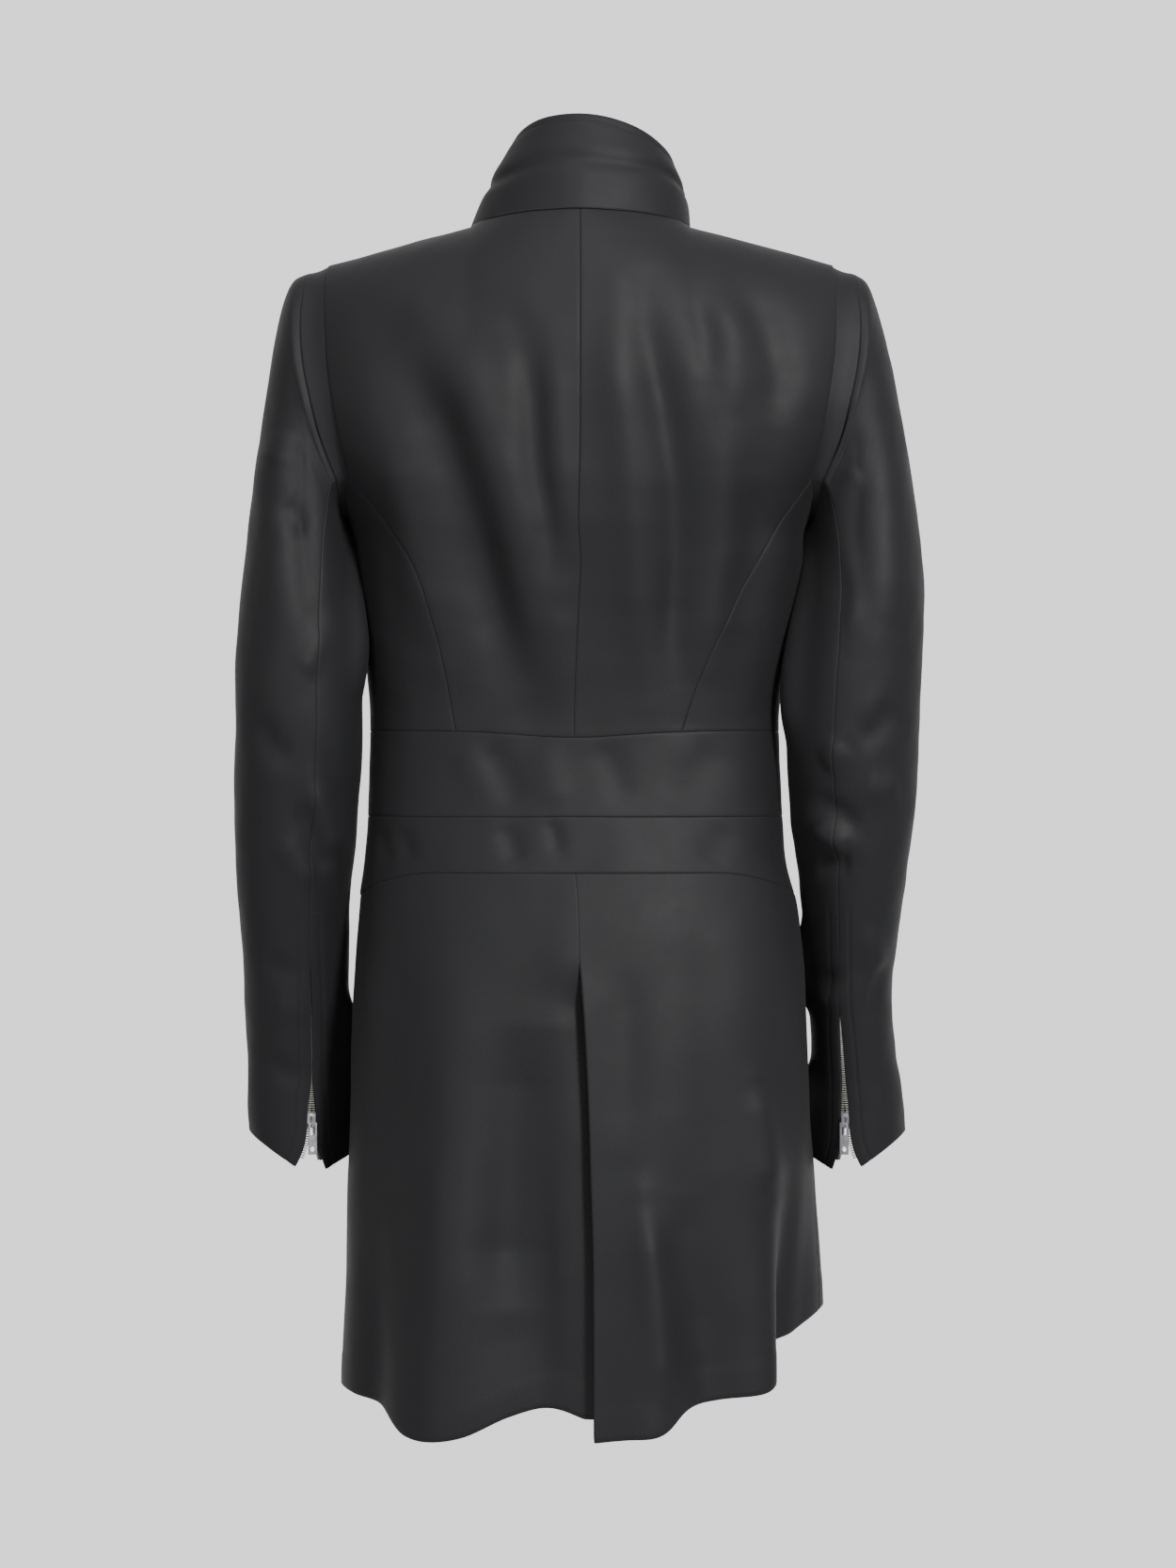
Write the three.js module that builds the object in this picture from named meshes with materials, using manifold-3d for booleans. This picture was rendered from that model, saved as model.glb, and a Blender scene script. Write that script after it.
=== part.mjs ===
// A woman's fitted black raincoat as it hangs when worn, hollow, with its sleeves down.
// Millimetres, +Z up. The front faces -Y, the wearer's left is +X.
// The origin is the middle of the neck opening at the height of the centre back collar seam.
// Every cloth piece is a thin wall cut from one shared surface: the body's rings, the sleeve's rings,
// or the collar's ring. Pieces that are sewn together stop a seam gap apart.
import * as THREE from "three";
import Module from "manifold-3d";

const wasm = await Module();
wasm.setup();

// Cloth and seams
const CLOTH = 1.6;
const COLLAR_CLOTH = 2.4;
const SEAM_GAP = 0.3;
const DEG = Math.PI / 180;
const LEFT = 1;
const RIGHT = -1;
const BACK = 1;
const FRONT = -1;

// The body's rings: height, half width, depth behind and before the side seam, sideways shift
const BODY = [
  { z: -30, half: 215, back: 108, front: 88, shift: 0 },
  { z: -62, half: 215, back: 110, front: 92, shift: 0 },
  { z: -110, half: 215, back: 112, front: 104, shift: 0 },
  { z: -150, half: 213, back: 114, front: 117, shift: 0 },
  { z: -180, half: 203, back: 113, front: 125, shift: 0 },
  { z: -206, half: 189, back: 112, front: 129, shift: 0.5 },
  { z: -225, half: 178, back: 110, front: 130, shift: 1 },
  { z: -240, half: 171, back: 108, front: 129, shift: 1.2 },
  { z: -265, half: 168.6, back: 103, front: 125, shift: -0.3 },
  { z: -300, half: 164, back: 97, front: 118, shift: 1 },
  { z: -340, half: 158.3, back: 91, front: 109, shift: 2.9 },
  { z: -380, half: 153.9, back: 86.4, front: 102.6, shift: 4.3 },
  { z: -408, half: 153.9, back: 86.8, front: 101, shift: 4.3 },
  { z: -436, half: 155, back: 90, front: 101.6, shift: 4 },
  { z: -464, half: 156.4, back: 95.5, front: 105, shift: 3.9 },
  { z: -493, half: 159.2, back: 103, front: 109, shift: 3.9 },
  { z: -516, half: 164, back: 108, front: 111, shift: 2 },
  { z: -542, half: 167, back: 115, front: 113, shift: 1 },
  { z: -600, half: 170.5, back: 127, front: 116, shift: 0.6 },
  { z: -660, half: 172.5, back: 133, front: 119, shift: 0.4 },
  { z: -713, half: 174.5, back: 137, front: 122, shift: 0 },
  { z: -770, half: 176, back: 140, front: 125, shift: -1 },
  { z: -830, half: 177, back: 143, front: 128, shift: -1 },
  { z: -900, half: 178, back: 147, front: 131, shift: -1 },
];
const SQUARENESS = 2.4;

// The shoulder: the seam from the side of the neck to the tip, and how the cloth rounds over it
const SHOULDER = { seamY: -5, yokeZ: -150, roundness: 2.6 };
const NECK = { x: 83, z: -12, backZ: -7, crownZ: 30.7, crownPower: 1.6, backPower: 2, frontZ: -62, frontPower: 2.2 };
const TIP = { x: 190, z: -40 };
const NECK_COLUMNS = 6;
const TOP_EDGE_X = [0, 21.5, 41.5, 58.7, 71.9, 80.2, NECK.x, 104, 126, 148, 170, TIP.x];

// Seams that cross the body
const WAIST_Z = -391.5;
const WAIST_DIP = { deep: 5.5, wide: 37 * DEG, fade: 60 };
const HIP_Z = -455;
const SKIRT_SEAM = { back: -496, drop: 20, from: 50 * DEG, to: 95 * DEG };
const UNDERARM_Z = -240;
const JOIN_Z = -206;

// The princess seams, half width at each height, from the waist up to the armhole
const PRINCESS_BACK_LEFT = [
  { z: -391.5, x: 87.5 },
  { z: -347, x: 96.6 },
  { z: -318, x: 104.7 },
  { z: -283, x: 116 },
  { z: -256, x: 129.2 },
  { z: -229, x: 149.3 },
  { z: -206, x: 172 },
];
const PRINCESS_BACK_RIGHT = [
  { z: -391.5, x: 79.5 },
  { z: -356, x: 90.3 },
  { z: -329, x: 100.4 },
  { z: -304, x: 112.4 },
  { z: -274, x: 128 },
  { z: -243, x: 146.7 },
  { z: -206, x: 172 },
];
const PRINCESS_FRONT = [
  { z: -391.5, x: 78 },
  { z: -350, x: 84 },
  { z: -316, x: 92 },
  { z: -275, x: 106 },
  { z: -245, x: 122 },
  { z: -224, x: 140 },
  { z: -206, x: 166 },
];
// The armhole's edge above them
const ARMHOLE_BACK = [
  { z: -206, x: 172 },
  { z: -180, x: 178 },
  { z: -150, x: 183 },
  { z: -120, x: 187.5 },
  { z: -85, x: 190 },
  { z: -40, x: 190 },
];
const ARMHOLE_FRONT = [
  { z: -206, x: 166 },
  { z: -180, x: 168 },
  { z: -150, x: 171 },
  { z: -120, x: 177 },
  { z: -85, x: 185 },
  { z: -40, x: 190 },
];

// The hem's height at each angle from the centre back, on each side. It dips where a fold stands out.
const HEM = {
  [LEFT]: [
    { angle: 0, z: -887 },
    { angle: 10, z: -880 },
    { angle: 21, z: -886 },
    { angle: 31, z: -900 },
    { angle: 46, z: -901 },
    { angle: 58, z: -886 },
    { angle: 72, z: -881 },
    { angle: 92, z: -878 },
    { angle: 115, z: -862 },
    { angle: 145, z: -848 },
    { angle: 180, z: -842 },
  ],
  [RIGHT]: [
    { angle: 0, z: -904 },
    { angle: 12, z: -900 },
    { angle: 21, z: -897 },
    { angle: 29, z: -883 },
    { angle: 40, z: -876 },
    { angle: 52, z: -871 },
    { angle: 58, z: -864 },
    { angle: 66, z: -846 },
    { angle: 76, z: -838 },
    { angle: 92, z: -826 },
    { angle: 115, z: -828 },
    { angle: 145, z: -836 },
    { angle: 180, z: -842 },
  ],
};

// The skirt's folds reach their depth at this height
const FOLDS_FULL_Z = -900;
// The skirt's folds: angle from the centre back towards the wearer's left, how far each stands out
// at the hem, its half width in degrees, and the height where it starts
const SKIRT_FOLDS = [
  { angle: 88, out: 3, spread: 10, start: -700 },
  { angle: 62, out: -8, spread: 8, start: -640 },
  { angle: 38, out: 15, spread: 12, start: -560 },
  { angle: 13, out: -13, spread: 9, start: -580 },
  { angle: -17, out: 10, spread: 8, start: -620 },
  { angle: -37, out: -12, spread: 8, start: -660 },
  { angle: -50, out: 6, spread: 8, start: -640 },
  { angle: -66, out: -30, spread: 8, start: -630 },
  { angle: -78, out: -14, spread: 8, start: -630 },
  { angle: -99, out: 9, spread: 9, start: -600 },
  { angle: -128, out: -9, spread: 9, start: -620 },
  { angle: -148, out: 7, spread: 9, start: -600 },
  { angle: 108, out: -8, spread: 8, start: -660 },
  { angle: 126, out: 9, spread: 9, start: -620 },
  { angle: 148, out: -8, spread: 8, start: -640 },
];

// The centre back vent: the wearer's right side laps over the left
const VENT = { topZ: -556, openX: -10, openOver: 90, lap: 44, lapStart: 12, lapOver: 50, sink: 9, lift: 3, over: 40 };

// The front: the wearer's right side laps over the left and is buttoned
const LAP = { past: 18, lift: 2.1, from: 26, to: 62, neck: 12.5 * DEG };
const BUTTON = { radius: 10.5, height: 3.2, rim: 2, dish: 1, topZ: -92, pitch: 63, count: 7, sides: 14, clear: 0.6 };

// The collar's top edge: its middle, its half sizes and its tilt
const COLLAR_TOP = { x: -10, y: -8, half: 61, deep: 54, z: 40, left: 8, back: 26 };
const COLLAR_SHAPE = { belly: 3, creaseAt: 0.51, creaseDeep: 1.2, creaseWide: 0.08, lapLift: 2.2, lapSink: 1, raise: 0.9 };

// The armhole's inserted band: width at each share of the way from the tip to the underarm
const ARM_BAND = [
  { share: 0, width: 17 },
  { share: 0.3, width: 19 },
  { share: 0.6, width: 15 },
  { share: 0.85, width: 5 },
  { share: 1, width: 1.2 },
];
const ARM_BAND_SINK = 2.2;

// The sleeve's rings: outer and inner point of each, its middle forward or back, and half its depth
const SLEEVE = {
  [LEFT]: [
    { outX: 206, outZ: -43, inX: 172, inZ: -241, y: -3, deep: 58 },
    { outX: 216, outZ: -49, inX: 172.8, inZ: -245, y: -3, deep: 61 },
    { outX: 223, outZ: -64, inX: 172, inZ: -250, y: -3, deep: 62.5 },
    { outX: 229, outZ: -90, inX: 171, inZ: -257, y: -1, deep: 63.5 },
    { outX: 234, outZ: -124, inX: 170, inZ: -266, y: 3, deep: 64 },
    { outX: 240, outZ: -170, inX: 169.2, inZ: -281, y: 9, deep: 64 },
    { outX: 246, outZ: -222, inX: 166.8, inZ: -303, y: 16, deep: 63 },
    { outX: 252.5, outZ: -278, inX: 163.8, inZ: -332, y: 23, deep: 62 },
    { outX: 257, outZ: -335, inX: 163.2, inZ: -366, y: 25, deep: 60.5 },
    { outX: 258.5, outZ: -394, inX: 163.1, inZ: -408, y: 23, deep: 58.5 },
    { outX: 259.5, outZ: -450, inX: 167, inZ: -455, y: 15, deep: 56 },
    { outX: 258.5, outZ: -503, inX: 172, inZ: -503, y: 4, deep: 53.5 },
    { outX: 256, outZ: -550, inX: 175, inZ: -550, y: -8, deep: 51 },
    { outX: 254.5, outZ: -595, inX: 175.5, inZ: -595, y: -19, deep: 49 },
    { outX: 253.5, outZ: -635, inX: 176, inZ: -635, y: -28, deep: 47.5 },
    { outX: 253.5, outZ: -667, inX: 177, inZ: -667, y: -34, deep: 46.5 },
    { outX: 253, outZ: -694, inX: 178.5, inZ: -697, y: -39, deep: 46 },
  ],
  [RIGHT]: [
    { outX: 205, outZ: -43, inX: 172.6, inZ: -241, y: -3, deep: 58 },
    { outX: 214.5, outZ: -50, inX: 172.4, inZ: -245, y: -3, deep: 61 },
    { outX: 221, outZ: -65, inX: 171.6, inZ: -250, y: -3, deep: 62.5 },
    { outX: 228, outZ: -91, inX: 171, inZ: -257, y: -1, deep: 63.5 },
    { outX: 235, outZ: -124, inX: 170.4, inZ: -266, y: 3, deep: 64 },
    { outX: 243.5, outZ: -170, inX: 169, inZ: -281, y: 9, deep: 64 },
    { outX: 251, outZ: -222, inX: 165.6, inZ: -303, y: 16, deep: 63 },
    { outX: 256.5, outZ: -278, inX: 160.6, inZ: -332, y: 23, deep: 62 },
    { outX: 256, outZ: -335, inX: 156, inZ: -366, y: 25, deep: 60.5 },
    { outX: 253.5, outZ: -394, inX: 154.4, inZ: -408, y: 23, deep: 58.5 },
    { outX: 250.5, outZ: -450, inX: 157.5, inZ: -455, y: 15, deep: 56 },
    { outX: 245, outZ: -503, inX: 164.5, inZ: -503, y: 4, deep: 53.5 },
    { outX: 239.5, outZ: -550, inX: 170, inZ: -550, y: -8, deep: 51 },
    { outX: 236, outZ: -595, inX: 173, inZ: -595, y: -19, deep: 49 },
    { outX: 240, outZ: -635, inX: 175, inZ: -635, y: -28, deep: 47.5 },
    { outX: 245.5, outZ: -667, inX: 176, inZ: -667, y: -34, deep: 46.5 },
    { outX: 248, outZ: -694, inX: 177, inZ: -697, y: -39, deep: 46 },
  ],
};
// How long the armhole's own outline lasts down the sleeve, ring by ring
const ARMHOLE_FADE = [1, 0.85, 0.65, 0.42, 0.22, 0.08];
const SLEEVE_SEAM = { back: 111 * DEG, front: -118 * DEG, settledBy: 9 };
const CUFF = { drop: 30, spread: 111 * DEG };
const SLIT_REACH = 2.2;
const SLEEVE_RADIUS = 44;
// The zipped slit: half its opening at each height
const SLIT = [
  { z: -503, half: SEAM_GAP / 2 },
  { z: -525, half: SEAM_GAP / 2 },
  { z: -545, half: 1.8 },
  { z: -655, half: 2 },
  { z: -676, half: 4.9 },
  { z: -692, half: 5.4 },
  { z: -702, half: 6.8 },
  { z: -712, half: 9.5 },
  { z: -726, half: 15 },
];

// The sleeve zip, its slider and its pull tab
const ZIP = { topZ: -521, endZ: -718, tapeHalf: 11.5, tape: 0.9, under: 1.3, parted: 0.5, peeks: 2.2 };
const SLIDER = { z: -684, wide: 8.4, narrow: 6.4, long: 11.5, plate: 1.1, gap: 2.6, neck: 2.2, neckLong: 3 };
const BRIDGE = { wide: 1.8, long: 8.4, high: 4.4, bar: 1.2 };
const PULL = { wide: 6.6, long: 24, thick: 1.2, rail: 1.4, window: 8.2, above: 2, below: 2, hole: 4 };

// Small tools
const lerp = (a, b, t) => a + (b - a) * t;
const smooth = (t) => {
  const c = Math.min(1, Math.max(0, t));
  return c * c * (3 - 2 * c);
};
const smoothBetween = (a, b, v) => smooth((v - a) / (b - a));

// A smooth curve through a table's rows: the value of one column at any place along another.
function column(rows, along, name) {
  const sorted = [...rows].sort((p, q) => p[along] - q[along]);
  const at = sorted.map((row) => row[along]);
  const value = sorted.map((row) => row[name]);
  const secant = at.slice(1).map((t, i) => (value[i + 1] - value[i]) / (t - at[i]));
  const slope = at.map((_, i) => {
    if (i === 0) return secant[0];
    if (i === at.length - 1) return secant[i - 1];
    const before = at[i] - at[i - 1];
    const after = at[i + 1] - at[i];
    return (secant[i - 1] * after + secant[i] * before) / (before + after);
  });
  return (t) => {
    if (t <= at[0]) return value[0];
    if (t >= at[at.length - 1]) return value[at.length - 1];
    let i = 0;
    while (t > at[i + 1]) i += 1;
    const span = at[i + 1] - at[i];
    const u = (t - at[i]) / span;
    const h = u * u * (3 - 2 * u);
    return lerp(value[i], value[i + 1], h)
      + span * u * (1 - u) * ((1 - u) * slope[i] - u * slope[i + 1]);
  };
}

const bodyHalf = column(BODY, "z", "half");
const bodyBack = column(BODY, "z", "back");
const bodyFront = column(BODY, "z", "front");
const bodyShift = column(BODY, "z", "shift");
const hemAt = { [LEFT]: column(HEM[LEFT], "angle", "z"), [RIGHT]: column(HEM[RIGHT], "angle", "z") };
const princessFront = column(PRINCESS_FRONT, "z", "x");
const princess = {
  [LEFT]: { [BACK]: column(PRINCESS_BACK_LEFT, "z", "x"), [FRONT]: princessFront },
  [RIGHT]: { [BACK]: column(PRINCESS_BACK_RIGHT, "z", "x"), [FRONT]: princessFront },
};
const armhole = { [BACK]: column(ARMHOLE_BACK, "z", "x"), [FRONT]: column(ARMHOLE_FRONT, "z", "x") };
const slitHalf = column(SLIT, "z", "half");
const armBandWidth = column(ARM_BAND, "share", "width");

// Angles run from the centre back (0) towards the wearer's left (+) and end at the centre front (180).
const wrapped = (angle) => Math.atan2(Math.sin(angle), Math.cos(angle));
function hemZ(angle, side) {
  const turn = side * wrapped(angle);
  return hemAt[side]((turn < -Math.PI / 2 ? -turn : Math.max(0, turn)) / DEG);
}
const skirtSeamZ = (angle) =>
  SKIRT_SEAM.back - SKIRT_SEAM.drop * smoothBetween(SKIRT_SEAM.from, SKIRT_SEAM.to, Math.abs(wrapped(angle)));

// How far the skirt's folds push the cloth out or in
function foldDepth(angle, z) {
  let out = 0;
  for (const fold of SKIRT_FOLDS) {
    const away = wrapped(angle - fold.angle * DEG) / (fold.spread * DEG);
    const grown = Math.pow(smoothBetween(fold.start, FOLDS_FULL_Z, z), 1.2);
    out += fold.out * grown * Math.exp(-away * away);
  }
  return out;
}

// The height of the shoulder's ridge above a place across the body
function shoulderZ(x) {
  const across = Math.abs(x);
  if (across >= NECK.x) return lerp(NECK.z, TIP.z, (across - NECK.x) / (TIP.x - NECK.x));
  return NECK.crownZ - (NECK.crownZ - NECK.z) * Math.pow(across / NECK.x, NECK.crownPower);
}

function necklineZ(x, face) {
  const share = Math.abs(x) / NECK.x;
  if (face === BACK) return lerp(NECK.backZ, NECK.z, Math.pow(share, NECK.backPower));
  return NECK.frontZ + (NECK.z - NECK.frontZ) * Math.pow(share, NECK.frontPower);
}

// The coat's outer surface
function bodyPoint(angle, z) {
  const depth = Math.cos(angle) >= 0 ? bodyBack(z) : bodyFront(z);
  const across = Math.pow(Math.abs(Math.sin(angle)) / bodyHalf(z), SQUARENESS);
  const along = Math.pow(Math.abs(Math.cos(angle)) / depth, SQUARENESS);
  const radius = Math.pow(across + along, -1 / SQUARENESS) + foldDepth(angle, z);
  const x = radius * Math.sin(angle);
  let y = radius * Math.cos(angle);
  if (z > SHOULDER.yokeZ) {
    const climb = Math.min(1, (z - SHOULDER.yokeZ) / (shoulderZ(x) - SHOULDER.yokeZ));
    const left = Math.sqrt(1 - Math.pow(climb, SHOULDER.roundness));
    y = SHOULDER.seamY + (y - SHOULDER.seamY) * left;
  }
  return new THREE.Vector3(x + bodyShift(z), y, z);
}

// The angle at which the surface stands a given distance across, at one height
function angleAcross(x, z, face) {
  const depth = face === BACK ? bodyBack(z) : bodyFront(z);
  const share = Math.min(1, x / bodyHalf(z));
  const y = depth * Math.pow(1 - Math.pow(share, SQUARENESS), 1 / SQUARENESS);
  return Math.atan2(x, y);
}

function bodyNormal(angle, z) {
  const step = 0.4 * DEG;
  const rise = 1.5;
  const around = bodyPoint(angle + step, z).sub(bodyPoint(angle - step, z));
  const up = bodyPoint(angle, z + rise).sub(bodyPoint(angle, z - rise));
  const normal = around.cross(up).normalize();
  const outward = new THREE.Vector3(Math.sin(angle), Math.cos(angle), 0.3);
  return normal.dot(outward) < 0 ? normal.negate() : normal;
}

// The waist seam and the cloth near it dip at the centre back.
function dipped(angle, z) {
  const away = wrapped(angle) / WAIST_DIP.wide;
  const near = 1 - smoothBetween(0, WAIST_DIP.fade, Math.abs(z - WAIST_Z));
  return z - WAIST_DIP.deep * Math.exp(-away * away) * near;
}

// A place on the body: its point and its outward normal
function place(angle, z) {
  const height = dipped(angle, z);
  return { point: bodyPoint(angle, height), normal: bodyNormal(angle, height) };
}
const moved = (spot, out) => ({
  point: spot.point.clone().addScaledVector(spot.normal, out),
  normal: spot.normal,
});

// Pulls a grid's sewn edges in by half a seam gap. Edges are named first, last (rows), start, end (columns).
function inset(grid, edges) {
  const last = grid.length - 1;
  const end = grid[0].length - 1;
  const made = grid.map((row) => [...row]);
  // Steps towards the next place, square to the edge's own run
  const pull = (i, j, nextI, nextJ, alongI, alongJ) => {
    const after = grid[Math.min(last, i + alongI)][Math.min(end, j + alongJ)].point;
    const before = grid[Math.max(0, i - alongI)][Math.max(0, j - alongJ)].point;
    const run = after.clone().sub(before).normalize();
    const step = grid[nextI][nextJ].point.clone().sub(grid[i][j].point);
    step.addScaledVector(run, -step.dot(run)).setLength(SEAM_GAP / 2);
    made[i][j] = { point: made[i][j].point.clone().add(step), normal: made[i][j].normal };
  };
  for (let j = 0; j <= end; j += 1) {
    if (edges.includes("first")) pull(0, j, 1, j, 0, 1);
    if (edges.includes("last")) pull(last, j, last - 1, j, 0, 1);
  }
  for (let i = 0; i <= last; i += 1) {
    if (edges.includes("start")) pull(i, 0, i, 1, 1, 0);
    if (edges.includes("end")) pull(i, end, i, end - 1, 1, 0);
  }
  return made;
}

// A closed wall of cloth: the grid is its outer face, and its inner face lies one thickness inside.
function wall(grid, thickness) {
  const rows = grid.length;
  const columns = grid[0].length;
  const points = [];
  for (const out of [0, -thickness]) for (const row of grid) for (const spot of row) points.push(moved(spot, out).point);
  const outer = (i, j) => i * columns + j;
  const inner = (i, j) => rows * columns + outer(i, j);
  const faces = [];
  const quad = (a, b, c, d) => faces.push(a, b, c, a, c, d);
  for (let i = 0; i + 1 < rows; i += 1)
    for (let j = 0; j + 1 < columns; j += 1) {
      quad(outer(i, j), outer(i, j + 1), outer(i + 1, j + 1), outer(i + 1, j));
      quad(inner(i, j), inner(i + 1, j), inner(i + 1, j + 1), inner(i, j + 1));
    }
  for (let j = 0; j + 1 < columns; j += 1) {
    quad(outer(0, j), inner(0, j), inner(0, j + 1), outer(0, j + 1));
    quad(outer(rows - 1, j), outer(rows - 1, j + 1), inner(rows - 1, j + 1), inner(rows - 1, j));
  }
  for (let i = 0; i + 1 < rows; i += 1) {
    quad(outer(i, 0), outer(i + 1, 0), inner(i + 1, 0), inner(i, 0));
    quad(outer(i, columns - 1), inner(i, columns - 1), inner(i + 1, columns - 1), outer(i + 1, columns - 1));
  }
  return solidGeometry(points, faces);
}

// A geometry from points and triangles, turned to face outwards
function solidGeometry(points, faces) {
  let volume = 0;
  for (let k = 0; k < faces.length; k += 3) {
    const [a, b, c] = [points[faces[k]], points[faces[k + 1]], points[faces[k + 2]]];
    volume += a.dot(b.clone().cross(c));
  }
  if (volume < 0) for (let k = 0; k < faces.length; k += 3) [faces[k], faces[k + 1]] = [faces[k + 1], faces[k]];
  const geometry = new THREE.BufferGeometry().setFromPoints(points);
  geometry.setIndex(faces);
  geometry.computeVertexNormals();
  return geometry;
}

const coat = new THREE.Group();
coat.name = "raincoat";
const clothMaterial = new THREE.MeshStandardMaterial({ color: 0x1d1e20, roughness: 0.62, metalness: 0 });
const tapeMaterial = new THREE.MeshStandardMaterial({ color: 0x141414, roughness: 0.85, metalness: 0 });
const brassMaterial = new THREE.MeshStandardMaterial({ color: 0x8f8468, roughness: 0.4, metalness: 1 });
const nickelMaterial = new THREE.MeshStandardMaterial({ color: 0xc9c8c4, roughness: 0.28, metalness: 1 });
const buttonMaterial = new THREE.MeshStandardMaterial({ color: 0x121212, roughness: 0.4, metalness: 0 });

function add(name, geometry, material = clothMaterial) {
  const mesh = new THREE.Mesh(geometry, material);
  mesh.name = name;
  coat.add(mesh);
}

const sideName = (side) => (side === LEFT ? "left" : "right");
const faceName = (face) => (face === BACK ? "back" : "front");
const around = (angle, side, face) => side * (face === BACK ? angle : Math.PI - angle);

// The right front is lifted clear of the left where they lap.
function frontLift(side, across) {
  if (side === LEFT) return 0;
  return LAP.lift * (1 - smoothBetween(LAP.from, LAP.to, across));
}

// A place on a front piece, lifted where the fronts lap
function frontPlace(angle, z, side) {
  const spot = place(around(angle, side, FRONT), z);
  return moved(spot, frontLift(side, side * (spot.point.x - bodyShift(z))));
}

const lapAngle = (z) => LAP.past / bodyFront(z);

// The bodice. Rows of the centre panels: shares of the way from the waist to the shoulder tip,
// with one row where the princess seam meets the armhole.
const shareOf = (z) => (z - WAIST_Z) / (TIP.z - WAIST_Z);
const SEAM_ROWS = [WAIST_Z, -360, -330, -300, -270, -245, -224, JOIN_Z].map(shareOf);
const ARMHOLE_ROWS = [-180, -150, -122, -96, -74, -58, -47.5, -42, TIP.z].map(shareOf);

// The centre panel's outer edge at one height: the princess seam, then the armhole
function panelEdge(z, side, face) {
  const across = z <= JOIN_Z ? princess[side][face](z) : armhole[face](z);
  return angleAcross(across, z, face);
}

function topEdgeZ(x, face) {
  return x < NECK.x ? necklineZ(x, face) : shoulderZ(x);
}

function centreGrid(side, face) {
  const tipAngle = angleAcross(TIP.x, TIP.z, face);
  const columns = TOP_EDGE_X.map((x) => ({
    x,
    share: angleAcross(x, topEdgeZ(x, face), face) / tipAngle,
    top: topEdgeZ(x, face),
  }));
  const rows = [...SEAM_ROWS, ...ARMHOLE_ROWS];
  return rows.map((t) => {
    const edge = panelEdge(lerp(WAIST_Z, TIP.z, t), side, face);
    const row = columns.map(({ x, share, top }) => {
      const z = lerp(WAIST_Z, top, t);
      const angle = edge * share;
      if (t === 1 && x >= NECK.x) {
        const spot = place(around(angle, side, face), z);
        const slope = (NECK.z - TIP.z) / (TIP.x - NECK.x);
        return { point: spot.point, normal: new THREE.Vector3(side * slope, 0, 1).normalize() };
      }
      return face === FRONT ? frontPlace(angle, z, side) : place(around(angle, side, face), z);
    });
    if (face === FRONT) {
      const z = lerp(WAIST_Z, columns[0].top, t);
      row.unshift(frontPlace(-lapAngle(z), z, side));
    }
    return row;
  });
}

// The side panel runs from the princess seam to the side seam, under the armhole.
const SIDE_COLUMNS = [0, 0.25, 0.5, 0.75, 1];
function sideGrid(side, face) {
  return SEAM_ROWS.map((t, i) => {
    const climb = i / (SEAM_ROWS.length - 1);
    const seamZ = lerp(WAIST_Z, TIP.z, t);
    const start = panelEdge(seamZ, side, face);
    return SIDE_COLUMNS.map((s) => {
      const sideZ = lerp(WAIST_Z, UNDERARM_Z, climb);
      const z = lerp(seamZ, sideZ, Math.sin((s * Math.PI) / 2));
      return place(around(lerp(start, Math.PI / 2, s), side, face), z);
    });
  });
}

for (const side of [LEFT, RIGHT])
  for (const face of [BACK, FRONT]) {
    const centreEdges = face === BACK ? ["first", "last", "start", "end"] : ["first", "last", "end"];
    add(`${faceName(face)}_${sideName(side)}`, wall(inset(centreGrid(side, face), centreEdges), CLOTH));
    add(`side_${faceName(face)}_${sideName(side)}`,
      wall(inset(sideGrid(side, face), ["first", "last", "start", "end"]), CLOTH));
  }

// The two shaped bands between the bodice and the skirt, each a back and two lapped fronts
const BAND_STEPS = 12;
const steps = (count) => Array.from({ length: count + 1 }, (_, i) => i / count);

function bandGrid(topOf, bottomOf, angles, placeAt) {
  return steps(2).map((t) => angles.map((angle) => placeAt(angle, (lookup) => lerp(bottomOf(lookup), topOf(lookup), t))));
}

function addBand(name, topOf, bottomOf) {
  const backAngles = steps(2 * BAND_STEPS).map((s) => lerp(-Math.PI / 2, Math.PI / 2, s));
  const back = bandGrid(topOf, bottomOf, backAngles, (angle, heightAt) => place(angle, heightAt(angle)));
  add(`${name}_back`, wall(inset(back, ["first", "last", "start", "end"]), CLOTH));
  for (const side of [LEFT, RIGHT]) {
    const angles = [-lapAngle(WAIST_Z), ...steps(BAND_STEPS).map((s) => (s * Math.PI) / 2)];
    const front = bandGrid(topOf, bottomOf, angles, (angle, heightAt) =>
      frontPlace(angle, heightAt(around(angle, side, FRONT)), side));
    add(`${name}_front_${sideName(side)}`, wall(inset(front, ["first", "last", "end"]), CLOTH));
  }
}
addBand("waist_band", () => WAIST_Z, () => HIP_Z);
addBand("hip_band", () => HIP_Z, skirtSeamZ);

// The skirt's backs, which lap at the centre back vent below its top
function ventEdge(side, z) {
  const below = VENT.topZ - z;
  if (below <= 0) return 0;
  const radius = bodyBack(z);
  if (side === RIGHT) return (-VENT.openX * (1 - Math.exp(-below / VENT.openOver))) / radius;
  return (-VENT.lap * smooth((below - VENT.lapStart) / VENT.lapOver)) / radius;
}

function ventLift(side, across, z) {
  const grown = smooth((VENT.topZ - z) / VENT.over);
  const near = 1 - smoothBetween(0, VENT.over, across);
  return (side === RIGHT ? VENT.lift : -VENT.sink) * grown * near;
}

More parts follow.
